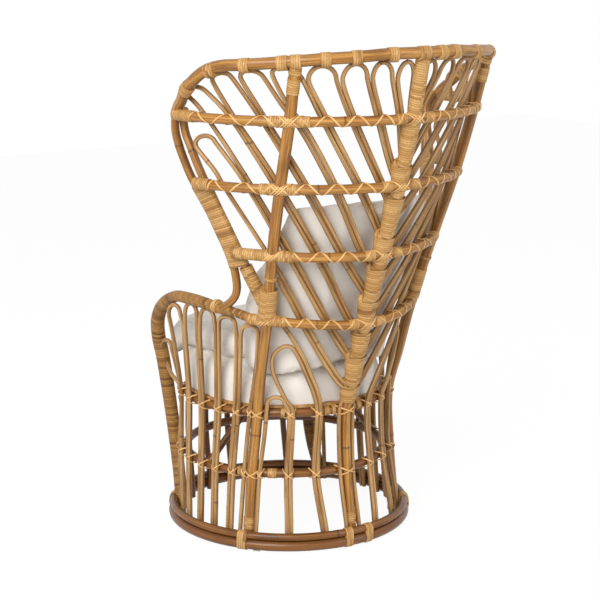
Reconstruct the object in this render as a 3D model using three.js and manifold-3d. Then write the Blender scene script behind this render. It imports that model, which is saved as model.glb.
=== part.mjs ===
// Peacock chair: a rattan pole frame filled with cane loops, with wrapped arms and three loose cushions.
// Units are millimetres. +Z is up, the sitter faces -Y and their left side is +X.
// Everything is laid out round the base circle's centre, then the chair is centred on its footprint.
// Angles are in degrees, measured from the rear (+Y) towards the sitter's left (+X).
import * as THREE from 'three';
import { mergeVertices, mergeGeometries } from 'three/addons/utils/BufferGeometryUtils.js';
import loadManifold from 'manifold-3d';

const wasm = await loadManifold();
wasm.setup();

// Driving sizes: pole and cane radii
const clearance = 0.3;
const postRadius = 13.5;
const spinePostRadius = 13;
const railRadius = 11.5;
const rimRadius = 13.5;
const wingPoleRadius = 10;
const hoopPoleRadius = 11;
const lowerBasePoleRadius = 13;
const upperBasePoleRadius = 9.5;
const caneRadius = 5;
const frontPoleRadius = 8;
const strutRadius = 9;
const crossbarRadius = 9;
const armFrontRadius = 18;

// Driving sizes: circles and heights of the base and the seat
const baseReach = 300;
const midHoopReach = 256;
const seatHoopReach = 252;
const forwardShift = 20;
const glideHeight = 3;
const glideRadius = 9;
const midHoopHeight = 183;
const seatHoopHeight = 337;
const saddleDepth = 8.5;
const footGap = 4;

// Driving sizes: the flared back, as circles that its posts, canes and rim stand on
const backHeight = 1228;
const backCentre = 98;
const backReach = 436;
// Each row is a share of the back's height, of its centre's set back and of its reach.
const wallShares = {
  rail4: [0.468, 0.327, 0.667], rail3: [0.609, 0.622, 0.743], rail2: [0.748, 0.857, 0.835], rail1: [0.878, 1.061, 0.904],
  backTop: [1, 1, 1], caneTop: [0.981, 0.98, 0.9725],
  rimFoot: [0.878, 1.061, 0.89], rimTurn: [0.904, 1.051, 0.917], rimShoulder: [0.945, 1, 0.977], rimTop: [1, 0.969, 1.007],
};
function wallRow(name) {
  const [heightShare, centreShare, reachShare] = wallShares[name];
  return { height: heightShare * backHeight, centre: centreShare * backCentre, reach: reachShare * backReach };
}
const [rail4, rail3, rail2, rail1] = ['rail4', 'rail3', 'rail2', 'rail1'].map(wallRow);
const [backTop, caneTop] = ['backTop', 'caneTop'].map(wallRow);
const rimWall = ['rimFoot', 'rimTurn', 'rimShoulder', 'rimTop'].map(wallRow);
const caneBendShare = 0.28;
const railSet = 4;
const railSag = { rail_1: 0, rail_2: 0, rail_3: 0, rail_4: 5 };
const railRise = { rail_1: 0, rail_2: 0, rail_3: 7, rail_4: 18 };
const wingSet = 20;

// Driving sizes: arms, spine binding and seat
const armReach = 285;
const armHeightShare = 1.066;
const armHeight = armHeightShare * rail4.height;
const bindingWidth = 50;
const bindingDepth = 44;
const bindingSet = 6.5;
const pairGap = 5.2;
const sinkDepth = 8;
const collarRadius = 11.5;
const collarLength = 14;
const collarRise = 29;
const strutFootSet = 40;
const strutTopReach = 113;
const strutFootRise = 7;
const deckReach = 253.5;
const deckThickness = 7;

// Cushions: a round one on the seat, a square one lying on it and a tall one standing behind
const seatCushionReach = 248;
const seatCushionHeight = 96;
const lapWidth = 466;
const lapDepth = 412;
const lapSet = 94;
const lapThickness = 68;
const lapTilt = 18;
const lapDroop = 66;
const droopStart = 256;
const droopEnd = 306;
const pillowWidth = 434;
const pillowHeight = 430;
const pillowThickness = 175;
const pillowInset = 20;
const cornerSag = 24;
const sagStart = 40;
const sagEnd = 200;
const cushionGap = 0.6;

// Facet counts
const hoopSteps = 32;
const hoopSides = 8;
const poleSides = 7;
const caneSides = 5;
const arcSteps = 6;
const railSteps = 14;
const cushionSteps = 28;
const pillowSteps = 24;

// Materials
const poleFinish = { color: 0xb5762f, roughness: 0.42, metalness: 0 };
const caneFinish = { color: 0xbf8a4a, roughness: 0.5, metalness: 0 };
const wrapFinish = { color: 0xc99a5b, roughness: 0.55, metalness: 0 };
const fabricFinish = { color: 0xd9d4c9, roughness: 0.95, metalness: 0 };
const glideFinish = { color: 0xd8d8d4, roughness: 0.35, metalness: 0 };

const chair = new THREE.Group();

// Adds one named piece with its own material.
function addPiece(name, geometry, finish) {
  const mesh = new THREE.Mesh(geometry, new THREE.MeshStandardMaterial(finish));
  mesh.name = name;
  chair.add(mesh);
  return mesh;
}

// Geometry and solid helpers

function bare(geometry) {
  const copy = geometry.clone();
  copy.deleteAttribute('normal');
  copy.deleteAttribute('uv');
  return mergeVertices(copy, 1e-4);
}

function toSolid(geometry) {
  const merged = bare(geometry);
  return new wasm.Manifold(new wasm.Mesh({
    numProp: 3,
    vertProperties: new Float32Array(merged.attributes.position.array),
    triVerts: new Uint32Array(merged.index.array),
  }));
}

function toGeometry(solid) {
  const mesh = solid.getMesh();
  const geometry = new THREE.BufferGeometry();
  geometry.setAttribute('position', new THREE.BufferAttribute(mesh.vertProperties, 3));
  geometry.setIndex(new THREE.BufferAttribute(mesh.triVerts, 1));
  return geometry;
}

function cut(geometry, ...tools) {
  let solid = toSolid(geometry);
  for (const tool of tools) solid = solid.subtract(toSolid(tool));
  return toGeometry(solid);
}

// Keeps what lies above a height, or below it when the side is -1.
function trim(geometry, height, side) {
  return toGeometry(toSolid(geometry).trimByPlane([0, 0, side], side * height));
}

function join(...geometries) {
  let solid = toSolid(geometries[0]);
  for (const geometry of geometries.slice(1)) solid = solid.add(toSolid(geometry));
  return toGeometry(solid);
}

// A smooth route whose rings fall exactly on the points it is given.
class Route extends THREE.CatmullRomCurve3 {
  constructor(points) {
    super(points, false, 'centripetal');
  }

  getPointAt(share, target) {
    return this.getPoint(share, target);
  }

  getTangentAt(share, target) {
    return this.getTangent(share, target);
  }
}

// A round pole or cane along points, one ring at each point.
function pole(points, radius, sides = poleSides) {
  const section = new THREE.Shape();
  for (let side = 0; side < sides; side += 1) {
    const turn = (side / sides) * Math.PI * 2;
    if (side === 0) section.moveTo(radius * Math.cos(turn), radius * Math.sin(turn));
    else section.lineTo(radius * Math.cos(turn), radius * Math.sin(turn));
  }
  const options = { steps: points.length - 1, extrudePath: new Route(points), bevelEnabled: false };
  return bare(new THREE.ExtrudeGeometry(section, options));
}

// The same points run on a little past both ends, for the room that is cut round a pole.
function lengthened(points) {
  const first = points[0].clone().sub(points[1]).setLength(clearance).add(points[0]);
  const end = points[points.length - 1];
  const last = end.clone().sub(points[points.length - 2]).setLength(clearance).add(end);
  return [first, ...points, last];
}

// A closed skin over rings of points, with a fan at each end.
function skin(rings) {
  const positions = [];
  const index = [];
  const sides = rings[0].length;
  for (const ring of rings) for (const point of ring) positions.push(point.x, point.y, point.z);
  const lid = (ring) => {
    const middle = new THREE.Vector3();
    for (const point of ring) middle.add(point);
    middle.divideScalar(sides);
    positions.push(middle.x, middle.y, middle.z);
    return positions.length / 3 - 1;
  };
  const first = lid(rings[0]);
  const last = lid(rings[rings.length - 1]);
  const lastRow = (rings.length - 1) * sides;
  for (let side = 0; side < sides; side += 1) {
    const next = (side + 1) % sides;
    for (let row = 0; row < rings.length - 1; row += 1) {
      const low = row * sides;
      const high = low + sides;
      index.push(low + side, low + next, high + next, low + side, high + next, high + side);
    }
    index.push(first, next, side, last, lastRow + side, lastRow + next);
  }
  const geometry = new THREE.BufferGeometry();
  geometry.setAttribute('position', new THREE.Float32BufferAttribute(positions, 3));
  geometry.setIndex(index);
  return geometry;
}

// A closed skin over rings that are the same in front and behind, with a ladder of facets at each end.
function ladderSkin(rings) {
  const positions = rings.flat().flatMap((point) => point.toArray());
  const index = [];
  const sides = rings[0].length;
  const lastRow = (rings.length - 1) * sides;
  for (let side = 0; side < sides; side += 1) {
    const next = (side + 1) % sides;
    for (let low = 0; low < lastRow; low += sides) {
      const high = low + sides;
      index.push(low + side, low + next, high + next, low + side, high + next, high + side);
    }
  }
  for (let side = 0; side < sides / 2 - 1; side += 1) {
    const far = sides - 1 - side;
    index.push(side, far, side + 1, side + 1, far, far - 1);
    index.push(lastRow + side, lastRow + side + 1, lastRow + far);
    index.push(lastRow + side + 1, lastRow + far - 1, lastRow + far);
  }
  const geometry = new THREE.BufferGeometry();
  geometry.setAttribute('position', new THREE.Float32BufferAttribute(positions, 3));
  geometry.setIndex(index);
  return geometry;
}

// A pole whose radius changes along its points.
function taperedPole(points, radii, sides = poleSides) {
  const route = new Route(points);
  const frames = route.computeFrenetFrames(points.length - 1, false);
  const rings = points.map((point, row) => {
    const ring = [];
    for (let side = 0; side < sides; side += 1) {
      const turn = (side / sides) * Math.PI * 2;
      ring.push(point.clone()
        .addScaledVector(frames.normals[row], radii[row] * Math.cos(turn))
        .addScaledVector(frames.binormals[row], radii[row] * Math.sin(turn)));
    }
    return ring;
  });
  return skin(rings);
}

// Points on a round arch from one shoulder over a crown to the other shoulder.
function arch(first, crown, last) {
  const middle = first.clone().lerp(last, 1 / 2);
  const across = first.clone().sub(middle);
  const upward = crown.clone().sub(middle);
  const points = [];
  for (let step = 0; step <= arcSteps; step += 1) {
    const turn = (step / arcSteps) * Math.PI;
    points.push(middle.clone().addScaledVector(across, Math.cos(turn)).addScaledVector(upward, Math.sin(turn)));
  }
  return points;
}

function mirrored(points) {
  return points.map((point) => new THREE.Vector3(-point.x, point.y, point.z));
}

// The two hands of the chair: each is made from the sitter's left side.
const hands = [
  { name: 'left', hand: (points) => points },
  { name: 'right', hand: mirrored },
];

// Wall circles

function radians(degrees) {
  return (degrees * Math.PI) / 180;
}

// Value of a row's field at a height, between the rows above and below it.
function fieldAt(rows, field, height) {
  let upper = rows.findIndex((row) => row.height >= height);
  if (upper < 0) upper = rows.length - 1;
  if (upper === 0) upper = 1;
  const low = rows[upper - 1];
  const high = rows[upper];
  const share = (height - low.height) / (high.height - low.height);
  return low[field] + (high[field] - low[field]) * share;
}

function onWall(rows, angle, height, inset = 0) {
  const reach = fieldAt(rows, 'reach', height) - inset;
  const turn = radians(angle);
  return new THREE.Vector3(reach * Math.sin(turn), fieldAt(rows, 'centre', height) + reach * Math.cos(turn), height);
}

const lowerBaseHeight = glideHeight + lowerBasePoleRadius;
const upperBaseHeight = lowerBaseHeight + lowerBasePoleRadius + clearance + upperBasePoleRadius;
const footHeight = glideHeight + footGap;
const baseInner = (baseReach - lowerBasePoleRadius) * Math.cos(Math.PI / hoopSteps) - clearance;
const railRows = [rail4, rail3, rail2, rail1];

// The circles that poles of one radius stand on: inside the base, outside both hoops.
function standRows(radius, saddle) {
  const hoopSet = hoopPoleRadius + clearance + radius - saddle;
  return [
    { height: footHeight, centre: 0, reach: baseInner - radius },
    { height: upperBaseHeight, centre: 0, reach: baseInner - radius },
    { height: midHoopHeight, centre: -forwardShift, reach: midHoopReach + hoopSet },
    { height: seatHoopHeight, centre: -forwardShift, reach: seatHoopReach + hoopSet },
  ];
}

const caneInset = postRadius + clearance + caneRadius;
const inset = (row) => ({ ...row, reach: row.reach - caneInset });
const caneBend = {
  height: rail1.height + (backTop.height - rail1.height) * caneBendShare,
  centre: rail1.centre + (backTop.centre - rail1.centre) * caneBendShare,
  reach: rail1.reach + (backTop.reach - rail1.reach) * caneBendShare,
};
const postWall = [...standRows(postRadius, saddleDepth), ...railRows, backTop];
const spineWall = [...standRows(spinePostRadius, saddleDepth), ...railRows, backTop];
const caneWall = [...standRows(caneRadius, 0), ...railRows.map(inset), inset(caneBend), caneTop];
const frontWall = standRows(frontPoleRadius, 0);

// Hoops of the base and the seat

function hoop(reach, radius, centre, height) {
  const ring = new THREE.TorusGeometry(reach, radius, hoopSides, hoopSteps);
  return bare(ring.translate(0, centre, height));
}

addPiece('base_hoop_lower', hoop(baseReach, lowerBasePoleRadius, 0, lowerBaseHeight), poleFinish);
addPiece('base_hoop_upper', hoop(baseReach, upperBasePoleRadius, 0, upperBaseHeight), poleFinish);
addPiece('mid_hoop', hoop(midHoopReach, hoopPoleRadius, -forwardShift, midHoopHeight), poleFinish);
addPiece('seat_hoop', hoop(seatHoopReach, hoopPoleRadius, -forwardShift, seatHoopHeight), poleFinish);
const baseRoom = [
  hoop(baseReach, lowerBasePoleRadius + clearance, 0, lowerBaseHeight),
  hoop(baseReach, upperBasePoleRadius + clearance, 0, upperBaseHeight),
];
const hoopRoom = [
  hoop(midHoopReach, hoopPoleRadius + clearance, -forwardShift, midHoopHeight),
  hoop(seatHoopReach, hoopPoleRadius + clearance, -forwardShift, seatHoopHeight),
];

// Glides under the lower hoop
const glideAngles = { rear_left: 50, rear_right: -50, front_left: 130, front_right: -130 };
for (const [place, angle] of Object.entries(glideAngles)) {
  const disc = new THREE.CylinderGeometry(glideRadius, glideRadius, glideHeight - clearance, hoopSides);
  disc.rotateX(Math.PI / 2);
  const turn = radians(angle);
  disc.translate(baseReach * Math.sin(turn), baseReach * Math.cos(turn), (glideHeight - clearance) / 2);
  addPiece(`glide_${place}`, bare(disc), glideFinish);
}

// Rails: arcs round the outside of the back, from wing to wing
const railOf = { rail_1: rail1, rail_2: rail2, rail_3: rail3, rail_4: rail4 };
const railEndAngles = { rail_1: 91, rail_2: 81.5, rail_3: 65.5, rail_4: 57 };
function railPoints(name) {
  const row = railOf[name];
  const points = [];
  for (let step = 0; step <= railSteps; step += 1) {
    const turn = radians(railEndAngles[name] * (1 - (2 * step) / railSteps));
    const reach = row.reach + railSet;
    const lift = railRise[name] * Math.sin((Math.PI / 2) * (1 - (2 * step) / railSteps)) ** 2 - railSag[name];
    points.push(new THREE.Vector3(reach * Math.sin(turn), row.centre + reach * Math.cos(turn), row.height + lift));
  }
  return points;
}
const railRoom = [];
for (const name of Object.keys(railOf)) {
  railRoom.push(pole(lengthened(railPoints(name)), railRadius + clearance));
}

// Arms: each runs from the end of the lowest rail over the front and down to the base.
// Places are shares of the arm's reach, twice, and of its height; the last is its radius share.
const armShares = [
  [0.861, 0.684, 0.963, 0.63], [0.905, 0.526, 0.974, 0.62], [0.931, 0.351, 0.974, 0.7], [0.955, 0.168, 0.981, 0.78],
  [0.979, 0.028, 0.985, 0.83], [0.996, -0.105, 0.986, 0.82], [1, -0.249, 0.982, 0.78], [0.987, -0.375, 0.964, 0.82],
  [0.978, -0.488, 0.94, 0.88], [0.948, -0.649, 0.888, 0.96], [0.922, -0.744, 0.825, 1], [0.889, -0.782, 0.75, 1],
  [0.852, -0.786, 0.677, 1], [0.807, -0.779, 0.538, 0.98], [0.774, -0.77, 0.416, 0.95], [0.751, -0.754, 0.299, 0.93],
  [0.754, -0.695, 0.179, 0.91],
];
// The arm's foot is given in shares of the base circle and of its upper pole's height instead.
const armFootShares = [[0.74, -0.587, 0.98, 0.9], [0.747, -0.574, 0.18, 0.9]];
function armPlace([across, forward, upward]) {
  return new THREE.Vector3(across * armReach, forward * armReach, upward * armHeight);
}
function armFootPlace([across, forward, upward]) {
  return new THREE.Vector3(across * baseReach, forward * baseReach, upward * upperBaseHeight);
}
const armPoints = [...armShares.map(armPlace), ...armFootShares.map(armFootPlace)];
const armRadii = [...armShares, ...armFootShares].map((place) => place[3] * armFrontRadius);
function armPole(hand) {
  return taperedPole(hand(armPoints), armRadii);
}
function armRoomFor(hand) {
  const radii = [armRadii[0], ...armRadii, armRadii[armRadii.length - 1]];
  return taperedPole(lengthened(hand(armPoints)), radii.map((radius) => radius + clearance));
}

// Wing poles: angle, share of the back's height, share of the set inwards from the posts
const wingOuterShares = [
  [88.2, 0.897, 0.2], [89.2, 0.886, 0.2], [90.5, 0.8695, 0.2], [91.3, 0.845, 0.2], [90.8, 0.82, 0.3], [89, 0.787, 0.5], [86.1, 0.753, 0.7],
  [79, 0.7, 0.9], [71.3, 0.63, 0.9], [68.8, 0.604, 0.9], [67, 0.579, 0.9], [66, 0.556, 0.9], [65.7, 0.538, 0.9],
  [66.6, 0.522, 0.9], [69, 0.5085, 0.9],
];
const wingLandingShares = [[0.925, 0.421, 0.997], [0.935, 0.36, 0.98]];
const wingInnerShares = [
  [88.6, 0.886, 1.3], [90.6, 0.861, 1.3], [89.6, 0.8355, 1.25], [87.3, 0.817, 1.2], [84.2, 0.789, 1.1], [79, 0.745, 1],
  [73, 0.69, 0.95], [70.1, 0.6645, 0.95], [65.6, 0.622, 0.95], [61.3, 0.5865, 0.95], [57.6, 0.5568, 0.95],
  [54, 0.53, 0.95], [50.8, 0.502, 0.95],
];
function wingPoint([angle, share, insetShare]) {
  return onWall(postWall, angle, share * backTop.height, insetShare * wingSet);
}
const wingOuterPoints = [...wingOuterShares.map(wingPoint), ...wingLandingShares.map(armPlace)];
const wingInnerPoints = wingInnerShares.map(wingPoint);

// Rim: one pole over the top, bent down at both wings, standing on the ends of the top rail
const rimShares = [
  [0, 1], [11.6, 1], [21.8, 0.996], [31.3, 0.993], [39.3, 0.989], [54.9, 0.981], [63.1, 0.977], [69.1, 0.9655],
  [74.4, 0.9454], [79.3, 0.9276], [83.6, 0.9067], [87.2, 0.8917], [89.2, 0.878],
];
const rimHalf = rimShares.map(([angle, share]) => onWall(rimWall, angle, share * backTop.height));
const rimPoints = [...mirrored(rimHalf.slice(1)).reverse(), ...rimHalf];
const rimSeat = rail1.height + railRadius + clearance;
addPiece('rim_pole', trim(pole(rimPoints, rimRadius), rimSeat, 1), poleFinish);
const rimRoom = pole(rimPoints, rimRadius + clearance);

// Rear posts: foot inside the base ring, outside both hoops, up the flare to the rim
const postShares = [
  [56.6, 0.0057], [55.9, 0.0317], [51.6, 0.149], [48.6, 0.275], [49.1, 0.364], [48.8, 0.468], [47.3, 0.632],
  [45.2, 0.752], [42.9, 0.877], [41, 0.945], [39.9, 0.984],
];
const postPoints = postShares.map(([angle, share]) => onWall(postWall, angle, share * backTop.height));
const spineShares = [0.0057, 0.0317, 0.149, 0.275, 0.37, 0.468, 0.609, 0.748, 0.878, 0.995];
const spineTopShare = 1.03;
const spinePoints = spineShares.map((share) => onWall(spineWall, 0, share * backTop.height));
addPiece('spine_post', cut(pole(spinePoints, spinePostRadius), ...hoopRoom, ...railRoom, rimRoom), poleFinish);
const spineTop = onWall(spineWall, 0, spineTopShare * backTop.height);
const spinePostRoom = pole([...spinePoints, spineTop], spinePostRadius + clearance);

// Spine binding: an oval sleeve of wrapped cane round the spine post, wider below each junction
const bindingShares = [
  [0.293, 0.88], [0.338, 1.06], [0.346, 0.82], [0.397, 1.02], [0.406, 0.78], [0.454, 0.96], [0.526, 1],
  [0.535, 0.74], [0.596, 0.96], [0.661, 1], [0.67, 0.74], [0.735, 0.98], [0.798, 1], [0.806, 0.72],
  [0.866, 0.96], [0.89, 0.72], [0.99, 0.78],
];
function bindingSkin(extra) {
  return skin(bindingShares.map(([share, widthShare]) => {
    const ring = [];
    const middle = onWall(spineWall, 0, share * backTop.height, bindingSet);
    for (let side = 0; side < poleSides; side += 1) {
      const turn = ((side + 1 / 2) / poleSides) * Math.PI * 2;
      const across = (bindingWidth / 2) * widthShare + extra;
      ring.push(new THREE.Vector3(across * Math.cos(turn), (bindingDepth / 2 + extra) * Math.sin(turn), 0).add(middle));
    }
    return ring;
  }));
}
const bindingRoom = bindingSkin(clearance);
const binding = bindingSkin(0);
const spineCaneShares = [[3.9, 0.0057], [3.9, 0.0317], [4.1, 0.149], [4.1, 0.279], [3, 0.305]];
const spineCane = spineCaneShares.map(([angle, share]) => onWall(caneWall, angle, share * backTop.height));
const sleeve = join(binding, ...hands.map(({ hand }) => pole(hand(spineCane), caneRadius, caneSides)));
addPiece('spine_wrap', cut(sleeve, spinePostRoom, ...railRoom, rimRoom, ...hoopRoom), wrapFinish);

// Canes of the back: each pair line is shared by the neighbouring legs of two loops.
// Each place is an angle and a share of the back's height; the lowest sinks into the binding.
const pairShares = {
  alpha: [[0.4, 0.812], [3.7, 0.882]],
  beta: [[0.3, 0.757], [4.2, 0.796], [12.1, 0.883]],
  gamma: [[0, 0.692], [1, 0.717], [6.8, 0.756], [22, 0.886]],
  delta: [[0, 0.643], [1, 0.652], [13.1, 0.732], [32.3, 0.891]],
  epsilon: [[0, 0.569], [8, 0.614], [23.4, 0.735], [38.5, 0.862], [44.5, 0.907]],
  zeta: [[0, 0.518], [14.3, 0.592], [34.2, 0.735], [54.3, 0.897]],
  eta: [[0, 0.435], [8.7, 0.48], [26, 0.594], [49, 0.767], [65.8, 0.893]],
  thetaLow: [[0.2, 0.374], [5.5, 0.399], [16.3, 0.454], [38.1, 0.595], [60.7, 0.768]],
  iotaLow: [[0.5, 0.318], [7.7, 0.342], [29.1, 0.458], [37.7, 0.518]],
  inner: [[0, 0.86], [0.4, 0.912]],
};
const standShares = {
  pairA: [[35, 0.0057], [34.6, 0.0317], [32.5, 0.149], [31.25, 0.279]],
  pairB: [[16, 0.0057], [16.2, 0.0317], [18, 0.149], [16.25, 0.279], [19.85, 0.322], [24.5, 0.3575], [29, 0.391]],
  beside: [[52.3, 0.0057], [51.6, 0.0317], [47.5, 0.149], [44.9, 0.232]],
};
const highShares = {
  theta: [[78.9, 0.891]],
  iota: [[46.1, 0.577], [70.5, 0.743], [74, 0.769]],
  kappa: [[36.4, 0.441], [45.7, 0.491]],
  pairA: [[31.9, 0.286], [35.3, 0.3015], [38.8, 0.324], [42.2, 0.347], [44.4, 0.366]],
};

function unrolled([angle, share]) {
  const height = share * backTop.height;
  return new THREE.Vector2(fieldAt(caneWall, 'reach', height) * radians(angle), height);
}

function rolled(place, depth = 0) {
  const reach = fieldAt(caneWall, 'reach', place.y);
  return onWall(caneWall, THREE.MathUtils.radToDeg(place.x / reach), place.y, depth);
}

// One leg of a loop beside a pair line: the side is 1 outwards, -1 towards the spine, 0 on the line.
function leg(shares, side, sunk) {
  const places = shares.map(unrolled);
  return places.map((place, step) => {
    const before = places[Math.max(step - 1, 0)];
    const after = places[Math.min(step + 1, places.length - 1)];
    const way = after.clone().sub(before).normalize().multiplyScalar(side * pairGap);
    const depth = sunk && step === 0 ? -sinkDepth : 0;
    return rolled(new THREE.Vector2(place.x + way.y, place.y - way.x), depth);
  });
}

const sunkLeg = (name, side, more = []) => leg([...pairShares[name], ...more], side, true);
const archShares = {
  1: [[82.4, 0.915], [78.6, 0.933], [72.6, 0.925]],
  2: [[68.6, 0.947], [65.3, 0.9625], [61.1, 0.957]],
  3: [[57.9, 0.9545], [54.8, 0.97], [50.3, 0.9585]],
  4: [[47.2, 0.959], [44.2, 0.977], [38.5, 0.959]],
  5: [[36.3, 0.9545], [31.8, 0.98], [27.6, 0.9535]],
  6: [[25.7, 0.9535], [21.8, 0.983], [17.8, 0.956]],
  7: [[16, 0.956], [13, 0.985], [9.3, 0.9545]],
  8: [[7.3, 0.9545], [4.6, 0.984], [1.4, 0.953]],
  9: [[82.6, 0.8175], [78.4, 0.839], [72.3, 0.83]],
  '10': [[49.3, 0.54], [47, 0.562], [43.5, 0.549]],
  '11': [[44.5, 0.3895], [39.35, 0.4205], [33.3, 0.4045]],
  '12': [[44.1, 0.299], [39.9, 0.312], [35.1, 0.2995]],
};
const backLegs = {
  1: [sunkLeg('thetaLow', -1, highShares.theta), sunkLeg('eta', 1)],
  2: [sunkLeg('eta', -1), sunkLeg('zeta', 1)],
  3: [sunkLeg('zeta', -1), sunkLeg('epsilon', 1)],
  4: [sunkLeg('epsilon', -1), sunkLeg('delta', 1)],
  5: [sunkLeg('delta', -1), sunkLeg('gamma', 1)],
  6: [sunkLeg('gamma', -1), sunkLeg('beta', 1)],
  7: [sunkLeg('beta', -1), sunkLeg('alpha', 1)],
  8: [sunkLeg('alpha', -1), sunkLeg('inner', 0)],
  9: [sunkLeg('iotaLow', -1, highShares.iota), sunkLeg('thetaLow', 1)],
  '10': [[...leg(standShares.pairB, -1), ...leg(highShares.kappa, 0)], sunkLeg('iotaLow', 1)],
};
const lowLegs = {
  '11': [leg([...standShares.pairA, ...highShares.pairA], -1), leg(standShares.pairB, 1)],
  '12': [leg(standShares.beside, 0), leg(standShares.pairA, 1)],
};
function loopPoints(outer, arched, inner) {
  return [...outer, ...arch(...arched), ...inner.reverse()];
}
const onCaneWall = ([angle, share]) => onWall(caneWall, angle, share * backTop.height);
const loopsOf = (legs) => Object.entries(legs).map(([number, [outer, inner]]) => ({
  number, points: loopPoints(outer, archShares[number].map(onCaneWall), inner),
}));
const backLoops = loopsOf(backLegs);
const lowLoopPoints = loopsOf(lowLegs).map((loop) => loop.points);
const tieShares = [[31.6, 0.258], [31.35, 0.27]];
const tiePoints = tieShares.map(onCaneWall);

// Canes under the arms: feet as angles at the base, mid hoop and seat hoop, then places up to each arch
const armFeetAngles = {
  0: [124.5, 122.5, 123], 1: [109.5, 110.75, 115], 2: [99.25, 97.25, 97.75], 3: [87.5, 84.5, 84.5],
  4: [76.75, 73.75, 72.25], 5: [66.75, 63, 60.5], 6: [60.7, 55.9, 52.9],
};
const armRiseShares = {
  0: [[0.82, -0.692, 0.6], [0.85, -0.75, 0.665]],
  1: [[0.9555, -0.4, 0.755], [1.003, -0.3805, 0.848]],
  2: [[0.965, -0.1955, 0.783], [0.9785, -0.191, 0.865]],
  3: [[0.9535, 0.0135, 0.8025], [0.9605, 0.018, 0.865]],
  4: [[0.891, 0.2115, 0.8155], [0.9, 0.2265, 0.865]],
  5: [[0.8515, 0.4815, 0.8155], [0.8605, 0.499, 0.865]],
  6: [[0.791, 0.67, 0.783], [0.788, 0.683, 0.865]],
};
const armArchShares = {
  0: [[0.879, -0.7395, 0.715], [0.9375, -0.5675, 0.765], [0.96, -0.444, 0.7435]],
  1: [[1.03, -0.363, 0.899], [1.0205, -0.2875, 0.9445], [1.0035, -0.2115, 0.9105]],
  2: [[0.9805, -0.171, 0.9125], [0.976, -0.084, 0.965], [0.9645, -0.002, 0.926]],
  3: [[0.956, 0.0415, 0.917], [0.942, 0.136, 0.959], [0.9245, 0.2175, 0.918]],
  4: [[0.9075, 0.267, 0.9135], [0.903, 0.3875, 0.946], [0.8865, 0.4855, 0.9235]],
  5: [[0.8625, 0.5455, 0.899], [0.835, 0.6295, 0.927], [0.789, 0.686, 0.903]],
};
const lowRiseShares = [[0.9395, -0.4165, 0.69]];
const footHeights = [footHeight, midHoopHeight, seatHoopHeight];

// One leg under an arm; the side is 1 towards the rear, -1 towards the front.
function armLeg(number, side, riseShares) {
  const line = [
    ...armFeetAngles[number].map((angle, row) => onWall(caneWall, angle, footHeights[row])),
    ...riseShares.map(armPlace),
  ];
  return line.map((point) => {
    const away = new THREE.Vector3(-(point.y + forwardShift), point.x, 0).normalize();
    return point.clone().addScaledVector(away, side * pairGap);
  });
}

function armLoop(number) {
  const rear = number + 1;
  const frontLeg = armLeg(number, number === 0 ? 0 : 1, armRiseShares[number]);
  const rearRise = number === 0 ? lowRiseShares : armRiseShares[rear];
  const rearLeg = armLeg(rear, rear === 6 ? 0 : -1, rearRise);
  return [...frontLeg, ...arch(...armArchShares[number].map(armPlace)), ...rearLeg.reverse()];
}
const armLoopPoints = [0, 1, 2, 3, 4, 5].map(armLoop);
const collarPoints = [1, 2, 3, 4, 5].map((number) => {
  const angle = armFeetAngles[number][2];
  const start = onWall(caneWall, angle, seatHoopHeight + collarRise);
  const end = start.clone();
  end.z += collarLength;
  return [start, end];
});

const frontTieShares = [[122.9, 0.254], [118.6, 0.256], [114.4, 0.254]];
const frontTiePoints = frontTieShares.map(onCaneWall);

for (const { name, hand } of hands) {
  const armRoom = armRoomFor(hand);
  const arm = cut(armPole(hand), ...hoopRoom, ...baseRoom);
  addPiece(`arm_pole_${name}`, arm, wrapFinish);

  const outer = pole(hand(wingOuterPoints), wingPoleRadius);
  addPiece(`wing_outer_pole_${name}`, cut(trim(outer, rimSeat - clearance, -1), armRoom), poleFinish);
  const outerRoom = pole(lengthened(hand(wingOuterPoints)), wingPoleRadius + clearance);
  const innerRoom = pole(lengthened(hand(wingInnerPoints)), wingPoleRadius + clearance);

  const postRoom = pole(hand(postPoints), postRadius + clearance);
  const post = cut(pole(hand(postPoints), postRadius), ...hoopRoom, ...railRoom, rimRoom);
  addPiece(`rear_post_${name}`, post, poleFinish);
  const inner = pole(hand(wingInnerPoints), wingPoleRadius);
  addPiece(`wing_inner_pole_${name}`, cut(inner, outerRoom, postRoom, rimRoom, ...railRoom.slice(0, railRows.length)), poleFinish);
  railRoom.push(armRoom, outerRoom);

  for (const { number, points } of backLoops) {
    const loop = pole(hand(points), caneRadius, caneSides);
    addPiece(`back_loop_${number}_${name}`, cut(loop, bindingRoom, rimRoom, innerRoom, postRoom), caneFinish);
  }
  const lowLoops = lowLoopPoints.map((points) => pole(hand(points), caneRadius, caneSides));
  const tie = pole(hand(tiePoints), collarRadius, caneSides);
  addPiece(`low_loops_${name}`, cut(join(...lowLoops, tie), postRoom, ...hoopRoom), caneFinish);

  const loops = armLoopPoints.map((points) => pole(hand(points), caneRadius, caneSides));
  const collars = collarPoints.map((points) => pole(hand(points), collarRadius, caneSides));
  const frontTie = pole(hand(frontTiePoints), caneRadius, caneSides);
  const panel = cut(join(...loops, ...collars, frontTie), armRoom, postRoom, ...hoopRoom);
  addPiece(`arm_loops_${name}`, panel, caneFinish);
}

const railCutters = railRoom.splice(railRows.length);
for (const name of Object.keys(railOf)) {
  addPiece(name, cut(pole(railPoints(name), railRadius), ...railCutters), poleFinish);
}

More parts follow.
